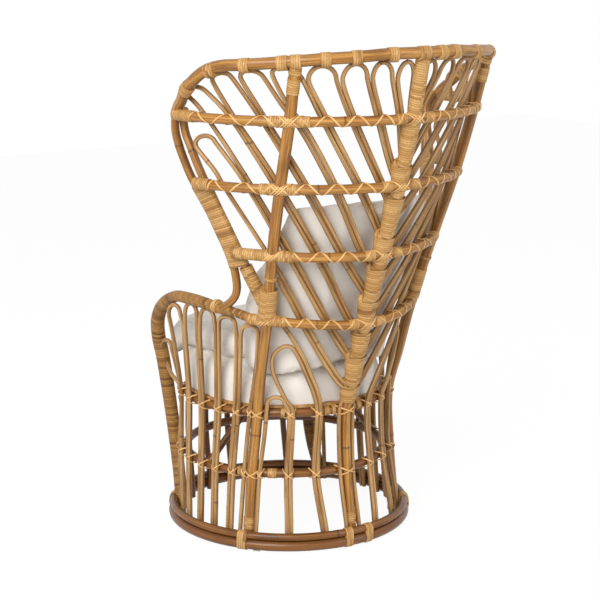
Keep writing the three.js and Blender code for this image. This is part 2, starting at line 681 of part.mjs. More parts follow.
// Front poles between the base and the seat
const frontAngles = { 1: 146.5, 2: 164, 3: 180, 4: -164, 5: -146.5 };
for (const [number, angle] of Object.entries(frontAngles)) {
  const heights = [footHeight, upperBaseHeight, midHoopHeight, seatHoopHeight + hoopPoleRadius];
  const points = heights.map((height) => onWall(frontWall, angle, height));
  addPiece(`front_pole_${number}`, cut(pole(points, frontPoleRadius), ...hoopRoom), poleFinish);
}

// Seat: a crossbar inside the seat hoop on two slanted struts, with the deck on top
const crossbarHeight = seatHoopHeight + hoopPoleRadius - crossbarRadius;
const crossbarHalf = seatHoopReach - hoopPoleRadius;
const crossbarEnds = [-1, 1].map((side) => new THREE.Vector3(side * crossbarHalf, strutFootSet / 2, crossbarHeight));
const crossbar = pole(crossbarEnds, crossbarRadius);
addPiece('seat_crossbar', cut(crossbar, ...hoopRoom), poleFinish);
const crossbarRoom = pole(crossbarEnds, crossbarRadius + clearance);
for (const { name, hand } of hands) {
  const foot = new THREE.Vector3(midHoopReach, strutFootSet / 2, midHoopHeight + strutFootRise);
  const top = new THREE.Vector3(strutTopReach, strutFootSet / 2, crossbarHeight);
  addPiece(`seat_strut_${name}`, cut(pole(hand([foot, top]), strutRadius), ...hoopRoom, crossbarRoom), poleFinish);
}
const deck = new THREE.CylinderGeometry(deckReach, deckReach, deckThickness, hoopSteps);
const deckBottom = seatHoopHeight + hoopPoleRadius + clearance;
deck.rotateX(Math.PI / 2);
deck.translate(0, -forwardShift, deckBottom + deckThickness / 2);
addPiece('seat_deck', bare(deck), caneFinish);

// A rounded square in plan, as a point at a turn; the power share is low for square corners.
const squareShare = 0.42;
const frontSquareShare = 0.82;
function squarePoint(turn, halfWidth, halfDepth, share = squareShare) {
  const across = Math.sign(Math.cos(turn)) * Math.abs(Math.cos(turn)) ** share;
  const along = Math.sign(Math.sin(turn)) * Math.abs(Math.sin(turn)) ** share;
  return new THREE.Vector2(halfWidth * across, halfDepth * along);
}

// Seat cushion: round, a little squarer in front, drawn in at its foot and its top edge
const cushionBottom = deckBottom + deckThickness + clearance;
const cushionProfileShares = [
  [0.55, 0], [0.93, 0], [0.985, 0.1], [1.01, 0.4], [1, 0.72], [0.965, 0.92], [0.9, 1], [0.4, 1],
];
const cushionRings = cushionProfileShares.map(([reachShare, heightShare]) => {
  const ring = [];
  for (let side = 0; side < cushionSteps; side += 1) {
    const turn = (side / cushionSteps) * Math.PI * 2;
    const reach = reachShare * seatCushionReach;
    const place = squarePoint(turn, reach, reach, Math.sin(turn) < 0 ? frontSquareShare : 1);
    const height = cushionBottom + heightShare * seatCushionHeight;
    ring.push(new THREE.Vector3(place.x, place.y - forwardShift, height));
  }
  return ring;
});
// Lap cushion: square with rounded corners, crowned, thicker towards the back, drooping over the round one
const lapBottom = cushionBottom + seatCushionHeight + cushionGap;
const lapTaperShare = 0.05;
const lapProfileShares = [
  [0.7, 0, 1], [0.8, 0, 1], [0.9, 0.01, 1], [0.97, 0.12, 1], [1, 0.42, 0.7], [0.985, 0.74, 0.4], [0.92, 0.93, 0.2],
  [0.75, 1, 0],
];
const lapSkin = (extra) => ladderSkin(lapProfileShares.map(([reachShare, heightShare, droopShare]) => {
  const ring = [];
  for (let side = 0; side < pillowSteps; side += 1) {
    const turn = ((side + 1 / 2) / pillowSteps) * Math.PI * 2;
    const wider = extra * (1 - droopShare);
    const place = squarePoint(turn, (lapWidth / 2) * reachShare + wider, (lapDepth / 2) * reachShare + wider);
    place.x *= 1 + (lapTaperShare * place.y) / (lapDepth / 2);
    const thickness = lapThickness + (lapTilt * place.y) / (lapDepth / 2);
    const away = Math.hypot(place.x, place.y - lapSet + forwardShift);
    const droop = lapDroop * droopShare * THREE.MathUtils.smoothstep(away, droopStart, droopEnd);
    ring.push(new THREE.Vector3(place.x, place.y - lapSet, lapBottom + heightShare * thickness - droop - extra));
  }
  return ring;
}));
// Back cushion: bent round the back at its rear face, flatter in front, thickest low down.
// Each row is a share of the height, of the half width, of the thickness and of how flat the front is.
const pillowRowShares = [
  [0, 0.8, 0.4, 0.1], [0.015, 0.93, 0.6, 0.3], [0.07, 0.985, 0.78, 0.6], [0.2, 1, 0.92, 0.62], [0.4, 1, 1, 0.6],
  [0.56, 0.995, 0.96, 0.58], [0.64, 0.99, 0.76, 0.56], [0.71, 0.985, 0.56, 0.46], [0.84, 0.975, 0.42, 0.28],
  [0.95, 0.96, 0.26, 0.1], [0.985, 0.93, 0.17, 0], [1, 0.86, 0.08, 0],
];
// How far the round wall stands forward of its rearmost line, as the first terms of the circle's series.
const bowAt = (across, reach) => reach * [[2, 2], [4, 8], [6, 16]].reduce(
  (sum, [power, part]) => sum + (across / reach) ** power / part, 0,
);
const pillowSkin = (extra) => ladderSkin(pillowRowShares.map(([heightShare, widthShare, thicknessShare, flatShare]) => {
  const ring = [];
  const height = lapBottom - extra + (pillowHeight + 2 * extra) * heightShare;
  const reach = fieldAt(caneWall, 'reach', height) - pillowInset + extra;
  const centre = fieldAt(caneWall, 'centre', height);
  for (let side = 0; side < pillowSteps; side += 1) {
    const turn = ((side + 1 / 2) / pillowSteps) * Math.PI * 2;
    const place = squarePoint(turn, (pillowWidth / 2) * widthShare + extra, 1 / 2);
    const bow = bowAt(place.x, reach);
    const depth = thicknessShare * pillowThickness - flatShare * bow + 2 * extra;
    const along = centre + reach - bow - depth * (1 / 2 - place.y);
    const sag = cornerSag * THREE.MathUtils.smoothstep(Math.abs(place.x), sagStart, sagEnd) * (1 - heightShare) ** 2;
    ring.push(new THREE.Vector3(place.x, along, height - sag));
  }
  return ring;
}));
addPiece('back_cushion', pillowSkin(0), fabricFinish);

// The two lower cushions give way to the ones that press on them.
const pillowRoom = pillowSkin(cushionGap);
addPiece('lap_cushion', cut(lapSkin(0), pillowRoom), fabricFinish);
addPiece('seat_cushion', cut(skin(cushionRings), pillowRoom, lapSkin(cushionGap)), fabricFinish);

// The chair stands centred on its footprint.
const footprint = new THREE.Box3().setFromObject(chair);
chair.position.y = -(footprint.min.y + footprint.max.y) / 2;

export default chair;
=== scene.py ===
"""Peacock chair: rattan poles, cane loops, cane windings and three loose cushions.

Sizes are millimetres round the base ring's centre until a piece is made, then metres in the
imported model's frame. The back of the chair is +Y and the sitter's left is +X.
"""

import logging
import math
from dataclasses import dataclass, field
from enum import Enum

import bpy
import numpy as np
from mathutils import Matrix, Vector, noise


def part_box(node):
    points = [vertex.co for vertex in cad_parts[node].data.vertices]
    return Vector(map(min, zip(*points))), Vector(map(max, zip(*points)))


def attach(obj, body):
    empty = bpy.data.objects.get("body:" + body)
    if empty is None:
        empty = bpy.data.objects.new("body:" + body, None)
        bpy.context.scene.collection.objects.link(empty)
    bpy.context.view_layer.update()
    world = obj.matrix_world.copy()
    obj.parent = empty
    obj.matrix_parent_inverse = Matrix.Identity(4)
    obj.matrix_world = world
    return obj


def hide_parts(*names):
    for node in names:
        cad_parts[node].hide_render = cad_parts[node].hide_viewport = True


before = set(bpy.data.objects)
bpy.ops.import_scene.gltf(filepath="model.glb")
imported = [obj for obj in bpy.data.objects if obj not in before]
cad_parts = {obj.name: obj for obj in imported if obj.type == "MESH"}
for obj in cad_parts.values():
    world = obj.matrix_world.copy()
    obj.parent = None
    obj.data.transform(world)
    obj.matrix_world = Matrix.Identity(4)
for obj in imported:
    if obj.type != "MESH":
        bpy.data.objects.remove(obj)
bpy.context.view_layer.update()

LOG = logging.getLogger("chair")
BODY = "root"
MM = 0.001
FOOTPRINT_SHIFT = -117.11
# Half of the cane that the routes are laid out for
CANE_ROUTE_RADIUS = 5.0
# Steps of a smooth route between two of its points
ROUTE_STEPS = 14
# Share of the wall's centre that sections face away from
FACING_SHARE = 0.6
# Knots of a pole in millimetres: range of the first, range between two, and the length of one
KNOT_FIRST = (60, 320)
KNOT_APART = (240, 560)
KNOT_LENGTH = 5.5
KNOT_RISE = 0.05
# Places of an arch, from shoulder to shoulder
ARCH_POINTS = 9
# Form of one wrap of a winding: roundness and how far its joints go in
WRAP_ROUNDNESS = 0.55
WRAP_SINK = 0.6

# A row of numbers is a place, a share of a size or an angle in degrees from the rear
Row = tuple[float, ...]
Points = np.ndarray


class Hand(Enum):
    """The sitter's left and right side."""

    LEFT = 1
    RIGHT = -1

    @property
    def word(self) -> str:
        """The hand's name in a piece's name."""
        return self.name.lower()

    def turned(self, points: Points) -> Points:
        """Returns points of the left side, brought to this side."""
        return np.asarray(points, float) * np.array([self.value, 1.0, 1.0])


class Facing(Enum):
    """What a section's first axis points at."""

    OUTWARD = "outward"
    UP = "up"


# Walls: the circles that posts, canes and the rim follow


@dataclass(frozen=True)
class Wall:
    """A flared round wall, as circles at heights."""

    rows: tuple[Row, ...]

    def circle(self, height: float) -> tuple[float, float]:
        """Returns the wall's centre along Y and its reach at a height."""
        heights, centres, reaches = np.array(self.rows).T
        return float(np.interp(height, heights, centres)), float(np.interp(height, heights, reaches))

    def place(self, angle: float, height: float, inset: float = 0.0) -> Points:
        """Finds a point on the wall.

        Args:
            angle: degrees from the rear towards the left.
            height: millimetres above the floor.
            inset: how far inside the wall.

        Returns:
            The point.
        """
        centre, reach = self.circle(height)
        turn = math.radians(angle)
        reach -= inset
        return np.array([reach * math.sin(turn), centre + reach * math.cos(turn), height])


@dataclass(frozen=True)
class Sizes:
    """The chair's driving sizes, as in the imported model."""

    clearance: float = 0.3
    post_radius: float = 13.5
    spine_radius: float = 13.0
    rail_radius: float = 11.5
    rim_radius: float = 13.5
    wing_radius: float = 10.0
    hoop_radius: float = 11.0
    lower_base_radius: float = 13.0
    upper_base_radius: float = 9.5
    cane_radius: float = 5.5
    front_radius: float = 8.0
    strut_radius: float = 9.0
    arm_radius: float = 18.0
    base_reach: float = 300.0
    mid_reach: float = 256.0
    seat_reach: float = 252.0
    forward_shift: float = 20.0
    foot_height: float = 7.0
    lower_base_height: float = 16.0
    upper_base_height: float = 38.8
    base_inner: float = 285.3
    mid_height: float = 183.0
    seat_height: float = 337.0
    saddle: float = 8.5
    back_height: float = 1228.0
    back_centre: float = 98.0
    back_reach: float = 436.0
    arm_reach: float = 285.0
    arm_height: float = 612.6
    rail_set: float = 4.0
    wing_set: float = 20.0
    pair_gap: float = 5.2
    sink: float = 8.0

    def row(self, height_share: float, centre_share: float, reach_share: float) -> Row:
        """Returns a wall row from its shares."""
        return (height_share * self.back_height, centre_share * self.back_centre,
                reach_share * self.back_reach)

    def stand(self, radius: float, saddle: float) -> tuple[Row, ...]:
        """Finds the circles that poles stand on, inside the base and outside both hoops.

        Args:
            radius: the poles' radius.
            saddle: how far a pole is notched where it meets a hoop.

        Returns:
            The rows of the wall, from the floor to the seat.
        """
        out = self.hoop_radius + self.clearance + radius - saddle
        foot = self.base_inner - radius
        return (
            (self.foot_height, 0.0, foot),
            (self.upper_base_height, 0.0, foot),
            (self.mid_height, -self.forward_shift, self.mid_reach + out),
            (self.seat_height, -self.forward_shift, self.seat_reach + out),
        )


S = Sizes()
RAIL_ROWS = {
    "rail_4": S.row(0.468, 0.327, 0.667), "rail_3": S.row(0.609, 0.622, 0.743),
    "rail_2": S.row(0.748, 0.857, 0.835), "rail_1": S.row(0.878, 1.061, 0.904),
}
BACK_TOP = S.row(1, 1, 1)
CANE_TOP = S.row(0.981, 0.98, 0.9725)
CANE_BEND_SHARE = 0.28
CANE_INSET = S.post_radius + S.clearance + CANE_ROUTE_RADIUS


def inset_row(row: Row) -> Row:
    """Returns a row moved in from the posts' circle to the canes'."""
    return (row[0], row[1], row[2] - CANE_INSET)


CANE_BEND = tuple(
    np.array(RAIL_ROWS["rail_1"]) * (1 - CANE_BEND_SHARE) + np.array(BACK_TOP) * CANE_BEND_SHARE)
POST_WALL = Wall((*S.stand(S.post_radius, S.saddle), *RAIL_ROWS.values(), BACK_TOP))
SPINE_WALL = Wall((*S.stand(S.spine_radius, S.saddle), *RAIL_ROWS.values(), BACK_TOP))
CANE_WALL = Wall((
    *S.stand(CANE_ROUTE_RADIUS, 0.0), *(inset_row(row) for row in RAIL_ROWS.values()),
    inset_row(CANE_BEND), CANE_TOP,
))
FRONT_WALL = Wall(S.stand(S.front_radius, 0.0))
RIM_WALL = Wall((
    S.row(0.878, 1.061, 0.89), S.row(0.904, 1.051, 0.917), S.row(0.945, 1, 0.977), S.row(1, 0.969, 1.007),
))


def on_wall(wall: Wall, rows: list[Row], inset: float = 0.0) -> Points:
    """Returns points from rows of an angle and a share of the back's height."""
    return np.array([wall.place(angle, share * S.back_height, inset) for angle, share in rows])


def arm_place(rows: list[Row]) -> Points:
    """Returns points from shares of the arm's reach, twice, and of its height."""
    return np.array([[r[0] * S.arm_reach, r[1] * S.arm_reach, r[2] * S.arm_height] for r in rows])


# Routes


@dataclass
class Run:
    """One pole, cane or strip along points.

    Attributes:
        points: the places that it passes.
        depth: half of its section outwards, one value or one at each point.
        width: half of its section sideways; the depth where it is None.
        closed: whether it is a ring.
        spacing: distance between its rings.
        facing: what its depth points at, or a direction at each point.
        ridge: height of the wraps of a winding.
        pitch: width of one wrap.
        square: 1 for a round section, less for a flatter one.
        knots: whether it has the rings of a rattan pole.
    """

    points: Points
    depth: float | Points
    width: float | Points | None = None
    closed: bool = False
    spacing: float = 9.0
    facing: Facing | Points = Facing.OUTWARD
    ridge: float = 0.0
    pitch: float = 5.4
    square: float = 1.0
    knots: bool = True


def smooth_route(run: Run) -> tuple[Points, Points, Points, Points]:
    """Returns a run's even rings.

    Args:
        run: the pole, cane or strip.

    Returns:
        The centres, the half sizes, the directions that the depth points at and the length so far.
    """
    points = np.asarray(run.points, float)
    count = len(points)
    if run.closed:
        padded = np.vstack([points[-1], points, points[0], points[1]])
        parts = count
    else:
        padded = np.vstack([2 * points[0] - points[1], points, 2 * points[-1] - points[-2]])
        parts = count - 1
    steps = np.linspace(0, 1, ROUTE_STEPS, endpoint=False)[:, None]
    fine, shares = [], []
    for part in range(parts):
        a, b, c, d = padded[part:part + 4]
        ab, bc, cd = (max(float(np.linalg.norm(q - p)), 1e-6) ** 0.5 for p, q in ((a, b), (b, c), (c, d)))
        leave = ((b - a) / ab - (c - a) / (ab + bc) + (c - b) / bc) * bc
        arrive = ((c - b) / bc - (d - b) / (bc + cd) + (d - c) / cd) * bc
        t, tt, ttt = steps, steps ** 2, steps ** 3
        fine.append((2 * ttt - 3 * tt + 1) * b + (ttt - 2 * tt + t) * leave
                    + (3 * tt - 2 * ttt) * c + (ttt - tt) * arrive)
        shares.append(part + steps[:, 0])
    fine.append(padded[parts + 1][None])
    shares.append(np.array([float(parts)]))
    route = np.vstack(fine)
    share = np.concatenate(shares)
    length = np.concatenate([[0.0], np.cumsum(np.linalg.norm(np.diff(route, axis=0), axis=1))])
    rings = max(3, round(length[-1] / run.spacing))
    at = np.linspace(0, length[-1], rings + 1)
    if run.closed:
        at = at[:-1]
    centres = np.stack([np.interp(at, length, route[:, k]) for k in range(3)], axis=1)
    place = np.interp(at, length, share)

    def spread(value: float | Points) -> Points:
        """Spreads a value over the rings.

        Args:
            value: one number, or one at each point of the run.

        Returns:
            The value at each ring.
        """
        table = np.broadcast_to(np.asarray(value, float), (count,))
        if run.closed:
            table = np.append(table, table[0])
        return np.interp(place, np.arange(len(table)), table)

    width = run.depth if run.width is None else run.width
    halves = np.stack([spread(run.depth), spread(width)], axis=1)
    if isinstance(run.facing, Facing):
        if run.facing is Facing.UP:
            facing = np.tile([0.0, 0.0, 1.0], (len(centres), 1))
        else:
            middle = np.array([POST_WALL.circle(z)[0] * FACING_SHARE for z in centres[:, 2]])
            facing = np.stack([centres[:, 0], centres[:, 1] - middle, np.zeros(len(centres))], axis=1)
    else:
        facing = np.stack([spread(np.asarray(run.facing)[:, k]) for k in range(3)], axis=1)
    return centres, halves, facing, at


def unit(rows: Points) -> Points:
    """Returns rows of directions at length 1."""
    return rows / np.maximum(np.linalg.norm(rows, axis=1, keepdims=True), 1e-9)


def section_axes(centres: Points, facing: Points, closed: bool) -> tuple[Points, Points]:
    """Finds the two axes of each ring's section.

    Args:
        centres: the rings' middles.
        facing: what the first axis points at.
        closed: whether the rings go round in a loop.

    Returns:
        The axis that the depth follows and the axis that the width follows.
    """
    if closed:
        along = np.roll(centres, -1, axis=0) - np.roll(centres, 1, axis=0)
    else:
        along = np.gradient(centres, axis=0)
    along = unit(along)
    first = unit(facing - (facing * along).sum(axis=1, keepdims=True) * along)
    return first, np.cross(along, first)


# Piece making


class Workshop:
    """Makes pieces out of runs, and gives each its place in the model."""

    def __init__(self, seed: int) -> None:
        """Starts the draws that give each pole its own tone and knots."""
        self.draw = np.random.default_rng(seed)

    @staticmethod
    def deselect() -> None:
        """Leaves edit mode and nothing selected."""
        if bpy.context.object and bpy.context.object.mode != "OBJECT":
            bpy.ops.object.mode_set(mode="OBJECT")
        bpy.ops.object.select_all(action="DESELECT")

    def tubes(self, name: str, runs: list[Run], material: bpy.types.Material, slot: str,
              replaced: tuple[str, ...] = (), detail: int = 4) -> bpy.types.Object:
        """Makes one piece of tubes.

        Args:
            name: the piece's name.
            runs: its poles, canes or strips.
            material: its finish.
            slot: a name passed on to finish.
            replaced: CAD nodes that it stands for.
            detail: bevel detail of the curve; a section has four sides more than twice this.

        Returns:
            The finished piece.
        """
        self.deselect()
        bpy.ops.curve.primitive_nurbs_path_add()
        piece = bpy.context.object
        piece.name = name
        curve = piece.data
        curve.splines.clear()
        curve.dimensions = "3D"
        curve.bevel_depth = MM
        curve.bevel_resolution = detail
        curve.use_fill_caps = False
        laid = [smooth_route(run) for run in runs]
        for run, (centres, *_rest) in zip(runs, laid):
            spline = curve.splines.new("POLY")
            spline.points.add(len(centres) - 1)
            places = np.hstack([centres * MM, np.ones((len(centres), 1))])
            spline.points.foreach_set("co", places.ravel())
            spline.use_cyclic_u = run.closed
        bpy.ops.object.convert(target="MESH")
        self.shape_rings(piece, runs, laid, 4 + 2 * detail)
        bpy.ops.object.mode_set(mode="EDIT")
        bpy.ops.mesh.select_all(action="SELECT")
        bpy.ops.mesh.fill_holes(sides=0)
        bpy.ops.mesh.select_all(action="SELECT")
        bpy.ops.mesh.normals_make_consistent(inside=False)
        bpy.ops.object.mode_set(mode="OBJECT")
        bpy.ops.object.shade_smooth_by_angle(angle=math.radians(60))
        return self.finish(piece, material, slot, replaced)

    def shape_rings(self, piece: bpy.types.Object, runs: list[Run], laid: list, sides: int) -> None:
        """Gives each ring its section, and writes the lay of the surface for its finish.

        Args:
            piece: the mesh just made from the curve.
            runs: its runs.
            laid: what smooth_route gave for each.
            sides: points round a section.
        """
        mesh = piece.data
        turn = np.arange(sides) / sides * 2 * np.pi
        places, alongs, knots, tones, starts = [], [], [], [], [0]
        for run, (centres, halves, facing, at) in zip(runs, laid):
            first, second = section_axes(centres, facing, run.closed)
            cosine = np.sign(np.cos(turn)) * np.abs(np.cos(turn)) ** run.square
            sine = np.sign(np.sin(turn)) * np.abs(np.sin(turn)) ** run.square
            depth = halves[:, :1]
            width = halves[:, 1:]
            lift = np.zeros((len(centres), sides))
            if run.ridge:
                phase = at[:, None] / run.pitch + turn[None] / (2 * np.pi)
                lift = run.ridge * (np.abs(np.sin(np.pi * phase)) ** WRAP_ROUNDNESS - WRAP_SINK)
            knot = np.zeros(len(centres))
            if run.knots and not run.ridge:
                where = self.draw.uniform(*KNOT_FIRST)
                while where < at[-1]:
                    knot = np.maximum(knot, np.exp(-((at - where) / KNOT_LENGTH) ** 2))
                    where += self.draw.uniform(*KNOT_APART)
                lift = lift + KNOT_RISE * halves.mean(axis=1)[:, None] * knot[:, None]
            ring = (centres[:, None] + (depth + lift)[..., None] * cosine[None, :, None] * first[:, None]
                    + (width + lift)[..., None] * sine[None, :, None] * second[:, None])
            places.append(ring.reshape(-1, 3))
            alongs.append(at * MM)
            knots.append(np.repeat(knot, sides))
            tones.append(np.full(len(centres) * sides, self.draw.uniform(0, 1)))
            starts.append(starts[-1] + len(centres) * sides)
        co = np.vstack(places)
        co[:, 1] += FOOTPRINT_SHIFT
        mesh.vertices.foreach_set("co", (co * MM).ravel())
        for label, values in (("knot", knots), ("tone", tones)):
            mesh.attributes.new(label, "FLOAT", "POINT").data.foreach_set("value", np.concatenate(values))
        corner = np.empty(len(mesh.loops), np.int64)
        mesh.loops.foreach_get("vertex_index", corner)
        corner = corner.reshape(-1, 4)
        run_of = np.searchsorted(np.array(starts[1:]), corner, side="right")
        local = corner - np.array(starts)[run_of]
        ring_of = local // sides
        side_of = local % sides
        spread = side_of.max(axis=1, keepdims=True) - side_of.min(axis=1, keepdims=True) > sides / 2
        around = np.where(spread & (side_of == 0), sides, side_of) / sides
        along = np.array([0.0] * corner.size).reshape(corner.shape)
        for number, at in enumerate(alongs):
            mask = run_of == number
            along[mask] = at[ring_of[mask]]
        jump = ring_of.max(axis=1, keepdims=True) - ring_of.min(axis=1, keepdims=True) > 1
        step = np.array([at[-1] + at[1] for at in alongs])[run_of]
        along = np.where(jump & (ring_of == 0), step, along)
        layer = mesh.uv_layers[0] if mesh.uv_layers else mesh.uv_layers.new()
        layer.name = "Lay"
        layer.data.foreach_set("uv", np.stack([around, along], axis=-1).ravel())
        mesh.update()

    @staticmethod
    def finish(piece: bpy.types.Object, material: bpy.types.Material, slot: str,
               replaced: tuple[str, ...] = ()) -> bpy.types.Object:
        """Dresses a piece, and fixes it to the chair.

        Args:
            piece: the finished mesh.
            material: its finish.
            slot: not used.
            replaced: CAD nodes that it stands for.

        Returns:
            The same piece.
        """
        piece.data.materials.clear()
        piece.data.materials.append(material)
        if replaced:
            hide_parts(*replaced)
        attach(piece, BODY)
        LOG.info("%s: %d faces", piece.name, len(piece.data.polygons))
        return piece


# Finishes


class Graph:
    """A material's node tree, built from the shader back."""

    def __init__(self, name: str) -> None:
        """Starts a new material with its shader.

        Args:
            name: the material's name.
        """
        self.material = bpy.data.materials.new(name)
        self.material.use_nodes = True
        self.tree = self.material.node_tree
        self.shader = self.tree.nodes["Principled BSDF"]

    def node(self, kind: str, **settings: object) -> bpy.types.Node:
        """Adds a node.

        Args:
            kind: the node's type.
            settings: its properties; a number, tuple or socket named in_N goes to input N.

        Returns:
            The node.
        """
        made = self.tree.nodes.new(kind)
        for key, value in settings.items():
            if key.startswith("in_"):
                socket = made.inputs[int(key[3:])]
                if isinstance(value, bpy.types.NodeSocket):
                    self.tree.links.new(value, socket)
                else:
                    socket.default_value = value
            else:
                setattr(made, key, value)
        return made

    def maths(self, operation: str, *values: object) -> bpy.types.NodeSocket:
        """Adds a sum, and returns its result."""
        inputs = {f"in_{index}": value for index, value in enumerate(values)}
        return self.node("ShaderNodeMath", operation=operation, **inputs).outputs[0]

    def blend(self, share: object, low: object, high: object, how: str = "MIX") -> bpy.types.NodeSocket:
        """Adds a mix of two colours.

        Args:
            share: how much of the second.
            low: the first colour.
            high: the second colour.
            how: the way in which they mix.

        Returns:
            The mixed colour.
        """
        made = self.node("ShaderNodeMix", data_type="RGBA", blend_type=how)
        for index, value in ((0, share), (6, low), (7, high)):
            if isinstance(value, bpy.types.NodeSocket):
                self.tree.links.new(value, made.inputs[index])
            else:
                made.inputs[index].default_value = (*value, 1.0) if isinstance(value, tuple) else value
        return made.outputs[2]

    def band(self, value: object, low: float, high: float, start: float = 0.0,
             end: float = 1.0) -> bpy.types.NodeSocket:
        """Maps a value smoothly from one range to another.

        Args:
            value: the value.
            low: where its range starts.
            high: where its range ends.
            start: the result at the low end.
            end: the result at the high end.

        Returns:
            The result.
        """
        made = self.node("ShaderNodeMapRange", interpolation_type="SMOOTHSTEP", in_0=value, in_1=low,
                         in_2=high, in_3=start, in_4=end)
        return made.outputs[0]

    def link(self, value: bpy.types.NodeSocket, socket: str) -> None:
        """Joins a value to the shader."""
        self.tree.links.new(value, self.shader.inputs[socket])

    def bump(self, height: object, strength: float, distance: float) -> None:
        """Gives the shader a relief.

        Args:
            height: the value that it follows.
            strength: how much of it shows.
            distance: its height in metres.
        """
        made = self.node("ShaderNodeBump", in_0=strength, in_1=distance)
        self.tree.links.new(height, made.inputs["Height"])
        self.link(made.outputs[0], "Normal")

    def lay(self) -> tuple[bpy.types.NodeSocket, bpy.types.NodeSocket]:
        """Reads a surface's own lay.

        Returns:
            The share round a pole, and the metres along it.
        """
        place = self.node("ShaderNodeUVMap", uv_map="Lay")
        parts = self.node("ShaderNodeSeparateXYZ", in_0=place.outputs[0])
        return parts.outputs[0], parts.outputs[1]

    def grain(self, around: object, along: object, spread: float, stretch: float,
              scale: float, offset: object) -> bpy.types.NodeSocket:
        """Makes a noise that runs round a pole with no seam, and is drawn out along it.

        Args:
            around: the share round the pole.
            along: the metres along it.
            spread: how fast it changes round the pole.
            stretch: how fast it changes along it.
            scale: its scale.
            offset: what sets one pole's noise apart from another's.

        Returns:
            The noise.
        """
        turn = self.maths("MULTIPLY", around, 2 * math.pi)
        across = self.maths("MULTIPLY", self.maths("COSINE", turn), spread)
        upward = self.maths("MULTIPLY", self.maths("SINE", turn), spread)
        far = self.maths("MULTIPLY_ADD", along, stretch, offset)
        place = self.node("ShaderNodeCombineXYZ", in_0=across, in_1=upward, in_2=far)
        made = self.node("ShaderNodeTexNoise")
        made.inputs["Scale"].default_value = scale
        made.inputs["Detail"].default_value = 4.0
        self.tree.links.new(place.outputs[0], made.inputs["Vector"])
        return made.outputs[0]


@dataclass(frozen=True)
class RattanFinish:
    """Varnished rattan, with streaks along the pole, patches, darker rings at its knots and painted shade
    along its two sides.
    """

    name: str
    light: Row
    deep: Row
    # Darkest colour: burnt patches, fibres and knots, and also the painted shade on a pole's sides
    burnt_and_edge_shade: Row
    gloss: float
    rough: float

    def material(self) -> bpy.types.Material:
        """Makes the material.

        Returns:
            The finish as a material.
        """
        g = Graph(self.name)
        around, along = g.lay()
        tone = g.node("ShaderNodeAttribute", attribute_name="tone").outputs["Fac"]
        knot = g.node("ShaderNodeAttribute", attribute_name="knot").outputs["Fac"]
        offset = g.maths("MULTIPLY", tone, 43.0)
        streak = g.grain(around, along, 0.9, 1.6, 4.0, offset)
        patch = g.grain(around, along, 0.35, 7.0, 1.6, offset)
        fibre = g.grain(around, along, 2.6, 9.0, 9.0, offset)
        colour = g.blend(g.band(streak, 0.32, 0.66), self.light, self.deep)
        colour = g.blend(g.band(patch, 0.48, 0.74, 0.0, 0.62), colour, self.burnt_and_edge_shade)
        darker = g.blend(0.55, colour, self.deep)
        colour = g.blend(g.band(tone, 0.35, 1.0, 0.0, 0.8), colour, darker)
        colour = g.blend(g.band(fibre, 0.35, 0.75, 0.0, 0.22), colour, self.burnt_and_edge_shade)
        colour = g.blend(g.band(knot, 0.55, 0.98, 0.0, 0.75), colour, self.burnt_and_edge_shade)
        # Painted shade: each pole is darkened along its two sides, away from the face that looks outward, to
        # stand in for the shade at its edges
        flank_for_shade = g.maths("ABSOLUTE", g.maths("COSINE", g.maths("MULTIPLY", around, 2 * math.pi)))
        colour = g.blend(g.band(flank_for_shade, 0.1, 0.8, 0.5, 0.0), colour, self.burnt_and_edge_shade)
        g.link(colour, "Base Color")
        g.shader.inputs["Specular IOR Level"].default_value = 0.3
        g.link(g.band(fibre, 0.2, 0.8, self.rough - 0.08, self.rough + 0.14), "Roughness")
        g.shader.inputs["Coat Weight"].default_value = self.gloss
        g.shader.inputs["Coat Roughness"].default_value = 0.22
        g.bump(g.maths("SUBTRACT", fibre, g.maths("MULTIPLY", knot, 0.8)), 0.25, 0.0006)
        return g.material


@dataclass(frozen=True)
class WindingFinish:
    """Split cane wound side by side, each wrap a little different, with dark joints."""

    name: str
    light: Row
    deep: Row
    joint: Row
    pitch: float
    band_share: float

    def material(self) -> bpy.types.Material:
        """Makes the material.

        Returns:
            The finish as a material.
        """
        g = Graph(self.name)
        around, along = g.lay()
        tone = g.node("ShaderNodeAttribute", attribute_name="tone").outputs["Fac"]
        phase = g.maths("ADD", g.maths("MULTIPLY", along, 1 / (self.pitch * MM)), around)
        wrap = g.maths("MULTIPLY_ADD", tone, 91.0, g.maths("FLOOR", phase))
        within = g.maths("FRACT", phase)
        joint = g.maths("ABSOLUTE", g.maths("SUBTRACT", within, 0.5))
        draw = g.node("ShaderNodeTexWhiteNoise", noise_dimensions="1D")
        g.tree.links.new(wrap, draw.inputs["W"])
        fibre = g.grain(around, g.maths("MULTIPLY", wrap, 0.37), 2.0, 1.0, 3.0, tone)
        colour = g.blend(g.band(draw.outputs[0], 0.0, 1.0), self.light, self.deep)
        colour = g.blend(g.band(fibre, 0.35, 0.7, 0.0, 0.5), colour, self.deep)
        dark = g.band(draw.outputs[0], 1 - self.band_share, 1.0, 0.0, 0.55)
        colour = g.blend(dark, colour, self.joint)
        colour = g.blend(g.band(joint, 0.36, 0.5, 0.0, 0.75), colour, self.joint)
        g.link(colour, "Base Color")
        g.shader.inputs["Roughness"].default_value = 0.5
        g.shader.inputs["Specular IOR Level"].default_value = 0.3
        g.shader.inputs["Coat Weight"].default_value = 0.08
        g.shader.inputs["Coat Roughness"].default_value = 0.3
        g.bump(g.maths("SUBTRACT", fibre, g.band(joint, 0.3, 0.5)), 0.4, 0.0006)
        return g.material


